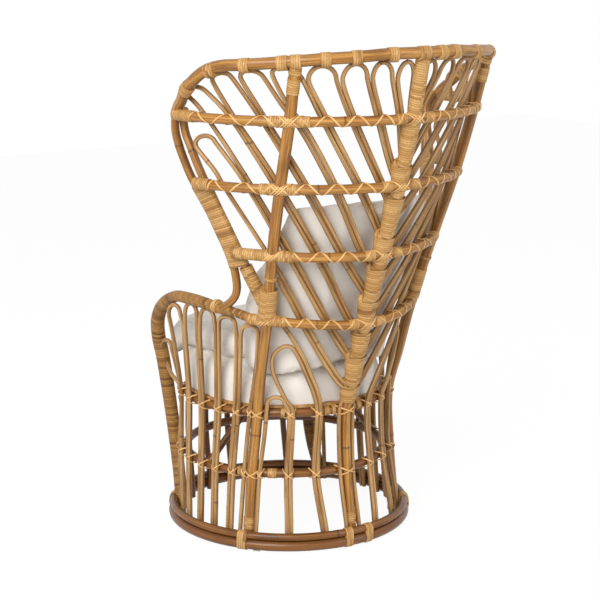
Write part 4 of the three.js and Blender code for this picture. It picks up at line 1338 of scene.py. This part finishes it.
@dataclass
class Lashings:
    """Bands, crossed strips and zigzags of split cane at the joints."""

    shop: Workshop
    finishes: Finishes
    back: BackFrame
    canes: CaneLoops
    arms: Arms
    pitch: float = 5.4
    strip_width: float = 4.6
    strip_thickness: float = 1.5
    strip_spacing: float = 4.0
    band_spacing: float = 1.8
    band_ridge: float = 1.0
    zigzag_turns: Row = (100, -80)
    zigzag_lift: float = 0.8
    zigzag_inside: float = 11.5
    cross_turn: float = 112.0
    cross_lift: float = 1.6
    post_cross: float = 24.0
    post_cross_offsets: Row = (-8, 0, 8)
    spine_cross: float = 27.0
    spine_cross_offsets: Row = (-9, 0, 9)
    post_side: Row = (17, 46)
    spine_side: Row = (26, 52)
    rim_band_angles: dict[Hand, Row] = field(default_factory=lambda: {
        Hand.LEFT: (11, 22, 31, 39.6, 43.6, 55, 66.5, 78), Hand.RIGHT: (6.5, 12.5, 24.5, 39.6, 55, 66.5, 78)})
    rim_band_half: float = 11.5
    spine_band_angles: Row = (-1.5, 2.4)
    post_band_heights: tuple[Row, ...] = ((1142, 1176), (1186, 1200), (46, 76), (694, 700))
    post_collar_heights: Row = (592, 668)
    spine_foot_heights: Row = (48, 78)
    wing_pair_heights: Row = (915, 718)
    wing_alone_heights: Row = (718, 628)
    wound_rail_ends: dict[str, Row] = field(default_factory=lambda: {
        "rail_1": (88.4, 78.5), "rail_2": (80.7, 73)})
    wound_rails: dict[str, Row] = field(default_factory=lambda: {
        "rail_3": (65.5, 38.5, 9), "rail_4": (57, 40.5, 6)})
    pair_tie: float = 14.0
    single_tie: float = 8.5
    post_tie: float = 18.0
    spine_tie: float = 26.0
    tie_width: float = 4.0
    standing_pairs: dict[float, Row] = field(default_factory=lambda: {
        S.mid_height: (32.5, 18), S.seat_height: (31.3, 16.3)})
    lone_cane_angle: float = 47.5
    hoop_band_places: tuple[Row, ...] = (
        (S.mid_height, 43.6, 38.8), (S.mid_height, 60.5, 56.9), (S.seat_height, 12.3, 9.2),
        (S.seat_height, 7.6, 5.6), (S.seat_height, 36.5, 34.3),
    )
    base_band_angles: tuple[Row, ...] = (
        (59, 54.5), (-59, -54.5), (3.8, 7.4), (-3.8, -7.4), (131, 127), (-131, -127))
    base_band_half: float = 24.3

    def band(self, points: Points, depth: float, width: float | None = None) -> Run:
        """Returns a short winding along points."""
        return Run(points, depth, width, spacing=self.band_spacing, ridge=self.band_ridge, pitch=self.pitch,
                   knots=False)

    def strip(self, points: Points, facing: Points, width: float = 0.0) -> Run:
        """Returns a flat strip along points, lying on a surface that faces the given way."""
        return Run(points, self.strip_thickness / 2, (width or self.strip_width) / 2, facing=facing,
                   spacing=self.strip_spacing, square=0.8, knots=False)

    def over_rail(self, name: str, angles: Points, turns: Points, lift: float | Points) -> Run:
        """Lays out a strip on a rail.

        Args:
            name: the rail.
            angles: place along the rail at each step, in degrees from the rear.
            turns: place round the rail at each step: 0 outside, 90 on top, -90 underneath.
            lift: how far the strip stands off the rail.

        Returns:
            The strip.
        """
        points, facing = [], []
        for angle, turn, off in zip(angles, turns, np.broadcast_to(lift, len(angles))):
            middle = self.back.rail_point(name, angle)
            outward = np.array([math.sin(math.radians(angle)), math.cos(math.radians(angle)), 0.0])
            upward = np.array([0, 0, 1.0])
            way = math.cos(math.radians(turn)) * outward + math.sin(math.radians(turn)) * upward
            points.append(middle + way * (S.rail_radius + off))
            facing.append(way)
        return self.strip(np.array(points), np.array(facing))

    def crossings(self, name: str) -> list[float]:
        """Finds where cane pairs cross a rail on the left.

        Args:
            name: the rail.

        Returns:
            The angles, from the spine outwards.
        """
        height = RAIL_ROWS[name][0] / S.back_height
        found = []
        for pair in ("alpha", "beta", "gamma", "delta", "epsilon", "zeta", "eta", "theta", "iota"):
            angles, shares = np.array(self.canes.line(pair)).T
            if shares[0] + 0.012 < height <= shares[-1]:
                found.append(float(np.interp(height, shares, angles)))
        if name == "rail_4":
            found.append(41.0)
        return sorted(found)

    def post_angle(self, height: float) -> float:
        """Returns the left post's angle at a height."""
        angles, shares = np.array(self.back.post_shares).T
        return float(np.interp(height / S.back_height, shares, angles))

    def zigzags(self) -> None:
        """Makes the single strips that run in zigzag along the rails from pair to pair."""
        for name, end in self.back.rail_ends.items():
            runs = []
            reach = RAIL_ROWS[name][2]
            post = self.post_angle(RAIL_ROWS[name][0])
            near_spine = math.degrees(30 / reach)
            for hand in Hand:
                peaks = [near_spine, *[a for a in self.crossings(name) if a > near_spine + 3], end - 5]
                for first, last in zip(peaks, peaks[1:]):
                    if first > post and name in ("rail_3", "rail_4"):
                        continue
                    middle = (first + last) / 2
                    for start, stop in ((first, middle), (last, middle)):
                        angles = np.linspace(start, stop, 7) * hand.value
                        turns = np.linspace(*self.zigzag_turns, 7)
                        runs.append(self.over_rail(name, angles, turns, self.zigzag_lift))
                    inside = np.linspace(last - 1.2, last + 1.2, 9) * hand.value
                    if last < end - 6:
                        swell = np.sin(np.linspace(0, np.pi, 9)) ** 2
                        lift = self.zigzag_lift + self.zigzag_inside * swell
                        runs.append(self.over_rail(name, inside, np.linspace(95, 265, 9), lift))
            self.shop.tubes(f"{name}_zigzag", runs, self.finishes.strip, "wrap", detail=2)

    @staticmethod
    def span(size: float | Points, reach: float) -> float | Points:
        """Returns a length along a circle as degrees."""
        return np.degrees(size / reach)

    def joints(self) -> None:
        """Makes the crossed strips and side windings where posts and the spine pass the rails."""
        for name in self.back.rail_ends:
            reach = RAIL_ROWS[name][2] + S.rail_set
            strips, bands = [], []
            post = self.post_angle(RAIL_ROWS[name][0])
            across = np.linspace(-1, 1, 9)
            round_rail = across * -self.cross_turn
            for hand in Hand:
                for slant in (-1, 1):
                    for offset in self.post_cross_offsets:
                        along = self.span(across * self.post_cross * slant + offset, reach)
                        strips.append(self.over_rail(name, (post + along) * hand.value, round_rail,
                                                     self.cross_lift + 0.5 * slant))
                for side in (1, -1):
                    ends = [(post + self.span(side * size, reach)) * hand.value for size in self.post_side]
                    bands.append(self.band(self.back.rail_points(name, *ends, 5), S.rail_radius + 1.3))
                ends = [self.span(size, reach) * hand.value for size in self.spine_side]
                bands.append(self.band(self.back.rail_points(name, *ends, 5), S.rail_radius + 1.3))
            for slant in (-1, 1):
                for offset in self.spine_cross_offsets:
                    along = self.span(across * self.spine_cross * slant + offset, reach)
                    strips.append(self.over_rail(name, along, round_rail, self.cross_lift + 0.5 * slant))
            self.shop.tubes(f"{name}_crossed_strips", strips, self.finishes.strip, "wrap", detail=2)
            self.shop.tubes(f"{name}_side_windings", bands, self.finishes.wound, "wrap", detail=4)

    def rim_bands(self) -> None:
        """Makes the bands that tie loop tops, posts and the spine to the rim."""
        bands = []
        rows = list(self.back.rim_shares)
        angles, shares = np.array(rows).T
        for hand in Hand:
            for angle in self.rim_band_angles[hand]:
                reach = RIM_WALL.circle(float(np.interp(angle, angles, shares)) * S.back_height)[1]
                half = math.degrees(self.rim_band_half / reach)
                around = np.linspace(angle - half, angle + half, 5)
                line = on_wall(RIM_WALL, [(a, float(np.interp(a, angles, shares))) for a in around])
                line[:, 2] -= 2.0
                bands.append(self.band(hand.turned(line), S.rim_radius + 1.6, S.rim_radius + 3.4))
        line = on_wall(RIM_WALL, [(a, 1.0) for a in np.linspace(*self.spine_band_angles, 6)])
        line[:, 2] -= 1.5
        bands.append(self.band(line, S.rim_radius + 1.8, S.rim_radius + 3.0))
        self.shop.tubes("rim_bands", bands, self.finishes.wound, "wrap", detail=4)

    def post_line(self, low: float, high: float) -> Points:
        """Returns five places along the left post between two heights."""
        return np.array([POST_WALL.place(self.post_angle(z), z) for z in np.linspace(low, high, 5)])

    def post_bands(self) -> None:
        """Makes the short windings on the posts and the wings."""
        bands, strips = [], []
        for hand in Hand:
            for low, high in self.post_band_heights:
                bands.append(self.band(hand.turned(self.post_line(low, high)), S.post_radius + 1.4))
            inner = self.back.wing_points(self.back.wing_inner_shares)[-1]
            line = self.post_line(*self.post_collar_heights)
            line[:, :2] += (inner[:2] - line[0, :2]) * np.linspace(0.25, 0.42, 5)[:, None]
            bands.append(self.band(hand.turned(line), S.post_radius + 5.5, S.post_radius + 8.5))
            arm = arm_place(list(self.arms.shares))
            landing = np.array([arm[2] * 0.85 + arm[3] * 0.15, arm[2] * 0.5 + arm[3] * 0.5])
            landing[:, 2] += 3
            bands.append(self.band(hand.turned(landing), 15.3, 15.3))
            strips += [self.landing_strip(hand, landing, way) for way in (-1, 1)]
        spine = np.array([SPINE_WALL.place(0, z) for z in np.linspace(*self.spine_foot_heights, 4)])
        bands.append(self.band(spine, S.spine_radius + 1.4))
        self.shop.tubes("post_bands", bands, self.finishes.wound, "wrap", detail=5)
        self.shop.tubes("landing_strips", strips, self.finishes.strip, "wrap", detail=2)

    def landing_strip(self, hand: Hand, landing: Points, way: int) -> Run:
        """Lays out a strip slantwise over the arm where the outer wing pole comes down.

        Args:
            hand: the side of the chair.
            landing: the middle line of the band there.
            way: 1 for a slant one way, -1 for the other.

        Returns:
            The strip.
        """
        along = landing[-1] - landing[0]
        length = float(np.linalg.norm(along))
        along = along / length
        side = np.cross(along, (0.0, 0.0, 1.0))
        side /= np.linalg.norm(side)
        rise = np.cross(side, along)
        points, facing = [], []
        for share in np.linspace(0, 1, 11):
            turn = math.radians(-150 + 300 * share)
            out = math.cos(turn) * rise + math.sin(turn) * side * way
            middle = landing[0] + along * length * (0.1 + 0.8 * share)
            points.append(middle + out * (16.9 + 0.4 * way))
            facing.append(out)
        return self.strip(hand.turned(np.array(points)), hand.turned(np.array(facing)))

    @staticmethod
    def at_height(line: Points, height: float) -> Points:
        """Returns the place at a height on a line that runs down."""
        return np.array([np.interp(-height, -line[:, 2], line[:, k]) for k in range(3)])

    def wing_windings(self) -> None:
        """Makes the windings that hold the two wing poles together, and the inner one's own."""
        outer = self.back.outer_wing()[3:]
        inner = self.back.wing_points(self.back.wing_inner_shares)[1:]
        heights = np.linspace(*self.wing_pair_heights, 11)
        first = np.array([self.at_height(outer, z) for z in heights])
        second = np.array([self.at_height(inner, z) for z in heights])
        apart = np.linalg.norm(first - second, axis=1)
        alone = np.array([self.at_height(inner, z) for z in np.linspace(*self.wing_alone_heights, 7)])
        wound = [self.back.rail_points(name, *ends, 4) for name, ends in self.wound_rail_ends.items()]
        wound += [self.back.rail_points(name, *ends) for name, ends in self.wound_rails.items()]
        for hand in Hand:
            along = np.gradient(first + second, axis=0)
            pair = Run(hand.turned((first + second) / 2), S.wing_radius + 2.2,
                       apart / 2 + S.wing_radius + 0.8, spacing=self.back.winding_spacing,
                       ridge=self.band_ridge, knots=False, square=0.72,
                       facing=hand.turned(np.cross(along, first - second)))
            runs = [pair, self.band(hand.turned(alone), 13.0, 16.5)]
            runs += [self.band(hand.turned(points), S.rail_radius + 2.2) for points in wound]
            self.shop.tubes(f"wing_windings_{hand.word}", runs, self.finishes.wound, "wrap", detail=6)

    def hoop_place(self, angle: float, height: float, out: float) -> Points:
        """Finds a place round the mid or seat hoop.

        Args:
            angle: degrees from the rear towards the left.
            height: the hoop's height.
            out: how far outside the hoop's middle line.

        Returns:
            The place.
        """
        reach = S.mid_reach if height < 250 else S.seat_reach
        turn = math.radians(angle)
        reach += out
        return np.array([reach * math.sin(turn), reach * math.cos(turn) - S.forward_shift, height])

    def cross_tie(self, angle: float, height: float, half: float, bulge: float) -> list[Run]:
        """Lays out two strips crossed over what stands outside a hoop.

        Args:
            angle: place round the hoop.
            height: the hoop's height.
            half: half the width of the tie.
            bulge: how far the strips stand outside the hoop's middle line.

        Returns:
            The two strips.
        """
        runs = []
        reach = S.mid_reach if height < 250 else S.seat_reach
        for slant in (-1, 1):
            points, facing = [], []
            for share in np.linspace(-1, 1, 9):
                turn = angle + math.degrees(share * half / reach)
                out = (bulge + 1.6 + 0.6 * slant) * (1 - abs(share) ** 3.5)
                place = self.hoop_place(turn, height, out)
                place[2] += slant * share * (S.hoop_radius + 0.9)
                points.append(place)
                facing.append([math.sin(math.radians(turn)), math.cos(math.radians(turn)), 0.0])
            runs.append(self.strip(np.array(points), np.array(facing), self.tie_width))
        return runs

    def hoop_ties(self) -> None:
        """Makes the crossed ties of the standing canes and posts, and the bands on the hoops."""
        runs, bands = [], []
        cane_out = S.hoop_radius + S.clearance + 2 * S.cane_radius
        post_out = S.hoop_radius + 2 * S.post_radius - S.saddle
        feet = self.canes.arm_feet
        for hand in Hand:
            for row, height in ((1, S.mid_height), (2, S.seat_height)):
                for number in range(1, 6):
                    runs += self.cross_tie(feet[number][row] * hand.value, height, self.pair_tie, cane_out)
                for number in (0, 6):
                    runs += self.cross_tie(feet[number][row] * hand.value, height, self.single_tie, cane_out)
            for height, angles in self.standing_pairs.items():
                for angle in angles:
                    runs += self.cross_tie(angle * hand.value, height, self.pair_tie, cane_out)
                runs += self.cross_tie(self.post_angle(height) * hand.value, height, self.post_tie, post_out)
            runs += self.cross_tie(self.lone_cane_angle * hand.value, S.mid_height, self.single_tie, cane_out)
            for height, start, stop in self.hoop_band_places:
                turns = np.linspace(start, stop, 5) * hand.value
                line = np.array([self.hoop_place(turn, height, 0) for turn in turns])
                bands.append(self.band(line, S.hoop_radius + 1.2))
        for height in (S.mid_height, S.seat_height):
            runs += self.cross_tie(0, height, self.spine_tie, post_out)
        self.shop.tubes("hoop_ties", runs, self.finishes.strip, "wrap", detail=1)
        bottom = S.lower_base_height - S.lower_base_radius
        top = S.upper_base_height + S.upper_base_radius
        for start, stop in self.base_band_angles:
            turns = np.radians(np.linspace(start, stop, 5))
            line = np.stack([S.base_reach * np.sin(turns), S.base_reach * np.cos(turns),
                             np.full(5, (bottom + top) / 2)], axis=1)
            bands.append(Run(line, S.lower_base_radius + 1.1, self.base_band_half, spacing=self.band_spacing,
                             ridge=0.9, knots=False, square=0.75))
        self.shop.tubes("hoop_bands", bands, self.finishes.wound, "wrap", detail=5)

    def build(self) -> None:
        """Makes every lashing."""
        self.zigzags()
        self.joints()
        self.rim_bands()
        self.post_bands()
        self.wing_windings()
        self.hoop_ties()


# Cushions


@dataclass
class Cushion:
    """One padded cushion, swollen and creased from its CAD form.

    Attributes:
        node: the CAD solid that it stands for.
        fill: how full it is; not used.
        creases: rows of a direction, a wave length in metres and a height in millimetres.
        foot_spread: reach in millimetres that the foot spreads to; 0 where it doesn't.
        foot_drop: how far the foot's edge hangs.
        cap: the furthest that the swelling moves a point.
        shrink: how far the form is drawn in before it swells.
        voxel: size in metres of the remesh.
        frames: steps of the cloth.
        smoothing: strength of one smoothing.
        smoothings: how many smoothings.
        pressure: the cloth's pressure from inside.
        tension: the cloth's stiffness to stretch.
        bending: the cloth's stiffness to bend.
        foot_height: height of the part that spreads.
        foot_edge: reach where the spread starts, and the width over which it grows.
        foot_roundness: below 1 the foot spreads more evenly over its height.
    """

    shop: Workshop
    finishes: Finishes
    node: str
    fill: float
    creases: tuple[Row, ...]
    foot_spread: float = 0.0
    foot_drop: float = 0.0
    cap: float = 8.5
    shrink: float = 3.5
    voxel: float = 0.005
    frames: int = 20
    smoothing: float = 0.6
    smoothings: int = 10
    pressure: float = 4.0
    tension: float = 12
    bending: float = 0.4
    foot_height: float = 60
    foot_edge: Row = (175, 45)
    foot_roundness: float = 0.7

    def build(self) -> None:
        """Makes the cushion."""
        self.shop.deselect()
        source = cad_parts[self.node]
        mesh = source.data.copy()
        piece = bpy.data.objects.new(f"{self.node}_cover", mesh)
        bpy.context.collection.objects.link(piece)
        piece.select_set(True)
        bpy.context.view_layer.objects.active = piece
        bpy.ops.object.mode_set(mode="EDIT")
        bpy.ops.mesh.select_all(action="SELECT")
        bpy.ops.mesh.remove_doubles(threshold=1e-5)
        bpy.ops.mesh.normals_make_consistent(inside=False)
        bpy.ops.object.mode_set(mode="OBJECT")
        self.modify(piece, "REMESH", mode="VOXEL", voxel_size=self.voxel, use_smooth_shade=True)
        self.modify(piece, "SMOOTH", factor=self.smoothing, iterations=self.smoothings)
        self.modify(piece, "DISPLACE", strength=-self.shrink * MM, mid_level=0.0)
        self.inflate(piece)
        if self.foot_drop:
            self.settle(piece.data)
        self.crease(piece)
        self.modify(piece, "SUBSURF", levels=1, render_levels=1)
        bpy.ops.object.shade_smooth()
        self.shop.finish(piece, self.finishes.fabric, "fabric", (self.node,))

    @staticmethod
    def modify(piece: bpy.types.Object, kind: str, **settings: object) -> None:
        """Adds a modifier and applies it.

        Args:
            piece: the piece.
            kind: the modifier's type.
            settings: its properties.
        """
        made = piece.modifiers.new(kind.lower(), kind)
        for key, value in settings.items():
            setattr(made, key, value)
        bpy.ops.object.modifier_apply(modifier=made.name)

    @staticmethod
    def places(mesh: bpy.types.Mesh) -> Points:
        """Reads a mesh's points.

        Args:
            mesh: the mesh.

        Returns:
            The points, one in a row.
        """
        co = np.empty(len(mesh.vertices) * 3)
        mesh.vertices.foreach_get("co", co)
        return co.reshape(-1, 3)

    def inflate(self, piece: bpy.types.Object) -> None:
        """Swells the cushion with Blender's cloth, and caps how far a point may move.

        Args:
            piece: the cushion.
        """
        start = self.places(piece.data)
        cloth = piece.modifiers.new("cloth", "CLOTH")
        cloth.settings.use_pressure = True
        cloth.settings.uniform_pressure_force = self.pressure
        cloth.settings.effector_weights.gravity = 0.0
        cloth.settings.tension_stiffness = self.tension
        cloth.settings.bending_stiffness = self.bending
        cloth.point_cache.frame_start = 1
        cloth.point_cache.frame_end = self.frames
        scene = bpy.context.scene
        for step in range(1, self.frames + 1):
            scene.frame_set(step)
        moved = piece.evaluated_get(bpy.context.evaluated_depsgraph_get())
        end = self.places(moved.data)
        piece.modifiers.remove(cloth)
        scene.frame_set(1)
        way = end - start
        far = np.linalg.norm(way, axis=1, keepdims=True)
        limit = self.cap * MM
        way = way / np.maximum(far, 1e-9) * limit * np.tanh(far / limit)
        piece.data.vertices.foreach_set("co", (start + way).ravel())
        piece.data.update()

    def settle(self, mesh: bpy.types.Mesh) -> None:
        """Lets the foot of the cushion spread and hang a little over the deck's edge.

        Args:
            mesh: the cushion's mesh.
        """
        co = self.places(mesh)
        centre = np.array([0.0, FOOTPRINT_SHIFT - S.forward_shift]) * MM
        foot = co[:, 2].min()
        low = np.clip(1 - (co[:, 2] - foot) / (self.foot_height * MM), 0, 1) ** self.foot_roundness
        away = co[:, :2] - centre
        reach = np.linalg.norm(away, axis=1)
        start, width = self.foot_edge
        edge = np.clip((reach - start * MM) / (width * MM), 0, 1)
        spread = low * edge * (self.foot_spread * MM - reach)
        co[:, :2] += away / np.maximum(reach, 1e-6)[:, None] * np.maximum(spread, 0)[:, None]
        co[:, 2] -= low * edge ** 2 * self.foot_drop * MM
        mesh.vertices.foreach_set("co", co.ravel())
        mesh.update()

    def crease(self, piece: bpy.types.Object) -> None:
        """Presses soft folds into the cover, along the directions given.

        Args:
            piece: the cushion.
        """
        mesh = piece.data
        co = self.places(mesh)
        normal = np.empty(len(mesh.vertices) * 3)
        mesh.vertices.foreach_get("normal", normal)
        normal = normal.reshape(-1, 3)
        lift = np.zeros(len(co))
        for row, (across, along, upward, wave, height) in enumerate(self.creases):
            axis = np.array([across, along, upward])
            axis /= np.linalg.norm(axis)
            for index, place in enumerate(co):
                wander = (0.35 * noise.noise(Vector(place * 9.0 + row * 5.1))
                          + 0.6 * noise.noise(Vector(place * 3.5)))
                phase = float(place @ axis) / wave + wander
                strength = max(0.0, noise.noise(Vector(place * 5.0 + 11.7 * (row + 1))) + 0.25)
                lift[index] -= height * MM * strength * (1 - abs(math.sin(math.pi * phase))) ** 2
        mesh.vertices.foreach_set("co", (co + normal * lift[:, None]).ravel())
        mesh.update()


# Studio


@dataclass(frozen=True)
class Studio:
    """The camera, lamps, floor and world."""

    eye: Row = (2.4756, 3.459996, 1.5162)
    right: Row = (-0.81844, 0.57459, 0.0)
    up: Row = (-0.12232, -0.17423, 0.97708)
    back: Row = (0.56142, 0.79968, 0.21288)
    lens: float = 104.65
    key_power: float = 240.0
    fill_power: float = 75.0
    ambient: float = 0.46
    key_place: Row = (3.7, 2.3, 3.3)
    key_size: float = 2.8
    fill_place: Row = (-2.2, 4.4, 2.2)
    fill_size: float = 2.6
    aim: Row = (0.0, 0.0, 0.6)
    floor_size: float = 14.0
    floor_colour: Row = (0.7, 0.7, 0.7)
    floor_glow_share: float = 0.88
    floor_glow: float = 1.06

    def camera(self) -> None:
        """Sets the photo's camera."""
        data = bpy.data.cameras.new("camera")
        data.lens = self.lens
        data.sensor_width = 36.0
        eye = bpy.data.objects.new("camera", data)
        bpy.context.collection.objects.link(eye)
        turn = Matrix((self.right, self.up, self.back)).transposed()
        eye.matrix_world = Matrix.Translation(self.eye) @ turn.to_4x4()
        bpy.context.scene.camera = eye

    def lamp(self, name: str, place: Row, size: float, power: float) -> None:
        """Adds a soft square lamp that points at the chair.

        Args:
            name: the lamp's name.
            place: where it stands, in metres.
            size: its side in metres.
            power: its power in watts.
        """
        data = bpy.data.lights.new(name, "AREA")
        data.size = size
        data.energy = power
        lamp = bpy.data.objects.new(name, data)
        bpy.context.collection.objects.link(lamp)
        lamp.location = place
        lamp.rotation_mode = "QUATERNION"
        lamp.rotation_quaternion = (Vector(place) - Vector(self.aim)).to_track_quat("Z", "Y")

    @staticmethod
    def seen(tree: bpy.types.NodeTree) -> bpy.types.NodeSocket:
        """Tells rays from the camera, in reflections and through glass from the others.

        Args:
            tree: the node tree that asks.

        Returns:
            1 for those rays, else 0.
        """
        path = tree.nodes.new("ShaderNodeLightPath")
        first = tree.nodes.new("ShaderNodeMath")
        second = tree.nodes.new("ShaderNodeMath")
        first.operation = second.operation = "MAXIMUM"
        tree.links.new(path.outputs["Is Camera Ray"], first.inputs[0])
        tree.links.new(path.outputs["Is Glossy Ray"], first.inputs[1])
        tree.links.new(first.outputs[0], second.inputs[0])
        tree.links.new(path.outputs["Is Transmission Ray"], second.inputs[1])
        return second.outputs[0]

    def world(self) -> None:
        """Makes the even light all round, on a white background."""
        world = bpy.data.worlds.new("studio")
        bpy.context.scene.world = world
        world.use_nodes = True
        tree = world.node_tree
        tree.nodes.clear()
        out = tree.nodes.new("ShaderNodeOutputWorld")
        mix = tree.nodes.new("ShaderNodeMixShader")
        soft = tree.nodes.new("ShaderNodeBackground")
        white = tree.nodes.new("ShaderNodeBackground")
        soft.inputs[1].default_value = self.ambient
        white.inputs[1].default_value = 1.0
        tree.links.new(self.seen(tree), mix.inputs[0])
        tree.links.new(soft.outputs[0], mix.inputs[1])
        tree.links.new(white.outputs[0], mix.inputs[2])
        tree.links.new(mix.outputs[0], out.inputs[0])
        for made in (soft, white):
            made.inputs[0].default_value = (1, 1, 1, 1)

    def floor(self) -> None:
        """Lays the plain pale floor."""
        Workshop.deselect()
        bpy.ops.mesh.primitive_plane_add(size=self.floor_size, location=(0, 0, 0))
        plane = bpy.context.object
        plane.name = "studio_floor"
        material = bpy.data.materials.new("pale_floor")
        material.use_nodes = True
        tree = material.node_tree
        shader = tree.nodes["Principled BSDF"]
        shader.inputs["Base Color"].default_value = (*self.floor_colour, 1)
        shader.inputs["Roughness"].default_value = 0.9
        glow = tree.nodes.new("ShaderNodeEmission")
        mix = tree.nodes.new("ShaderNodeMixShader")
        share = tree.nodes.new("ShaderNodeMath")
        share.operation = "MULTIPLY"
        share.inputs[1].default_value = self.floor_glow_share
        glow.inputs[1].default_value = self.floor_glow
        tree.links.new(self.seen(tree), share.inputs[0])
        tree.links.new(share.outputs[0], mix.inputs[0])
        tree.links.new(shader.outputs[0], mix.inputs[1])
        tree.links.new(glow.outputs[0], mix.inputs[2])
        tree.links.new(mix.outputs[0], tree.nodes["Material Output"].inputs[0])
        plane.data.materials.append(material)

    def build(self) -> None:
        """Makes the studio."""
        self.camera()
        self.lamp("key", self.key_place, self.key_size, self.key_power)
        self.lamp("fill", self.fill_place, self.fill_size, self.fill_power)
        self.world()
        self.floor()
        bpy.context.scene.view_settings.view_transform = "Standard"


def main() -> None:
    """Builds the chair, part by part."""
    logging.basicConfig(level=logging.INFO, format="%(message)s")
    Studio().build()
    shop = Workshop(seed=7)
    finishes = Finishes()
    base = BaseAndSeat(shop, finishes)
    back = BackFrame(shop, finishes)
    canes = CaneLoops(shop, finishes)
    arms = Arms(shop, finishes)
    for part in (base, back, canes, arms, Lashings(shop, finishes, back, canes, arms)):
        part.build()
    cushions = (
        Cushion(shop, finishes, "back_cushion", fill=0.7, voxel=0.0057, creases=(
            (0.7, 0.2, 0.7, 0.13, 3.0), (-0.6, 0.2, 0.7, 0.19, 2.6), (0.9, 0.3, -0.3, 0.06, 1.4))),
        Cushion(shop, finishes, "lap_cushion", fill=0.55, creases=(
            (0.6, 0.5, 0.5, 0.12, 2.8), (0.2, 1.0, 0.4, 0.15, 2.6), (0.8, -0.5, 0.4, 0.06, 1.5))),
        Cushion(shop, finishes, "seat_cushion", fill=0.6, foot_spread=250.0, foot_drop=9.0, creases=(
            (0.5, 0.4, 0.7, 0.13, 2.8), (0.5, -0.8, 0.2, 0.17, 2.4), (-0.3, 0.8, 0.6, 0.055, 1.5))),
    )
    for cushion in cushions:
        cushion.build()


if __name__ == "__main__":
    main()
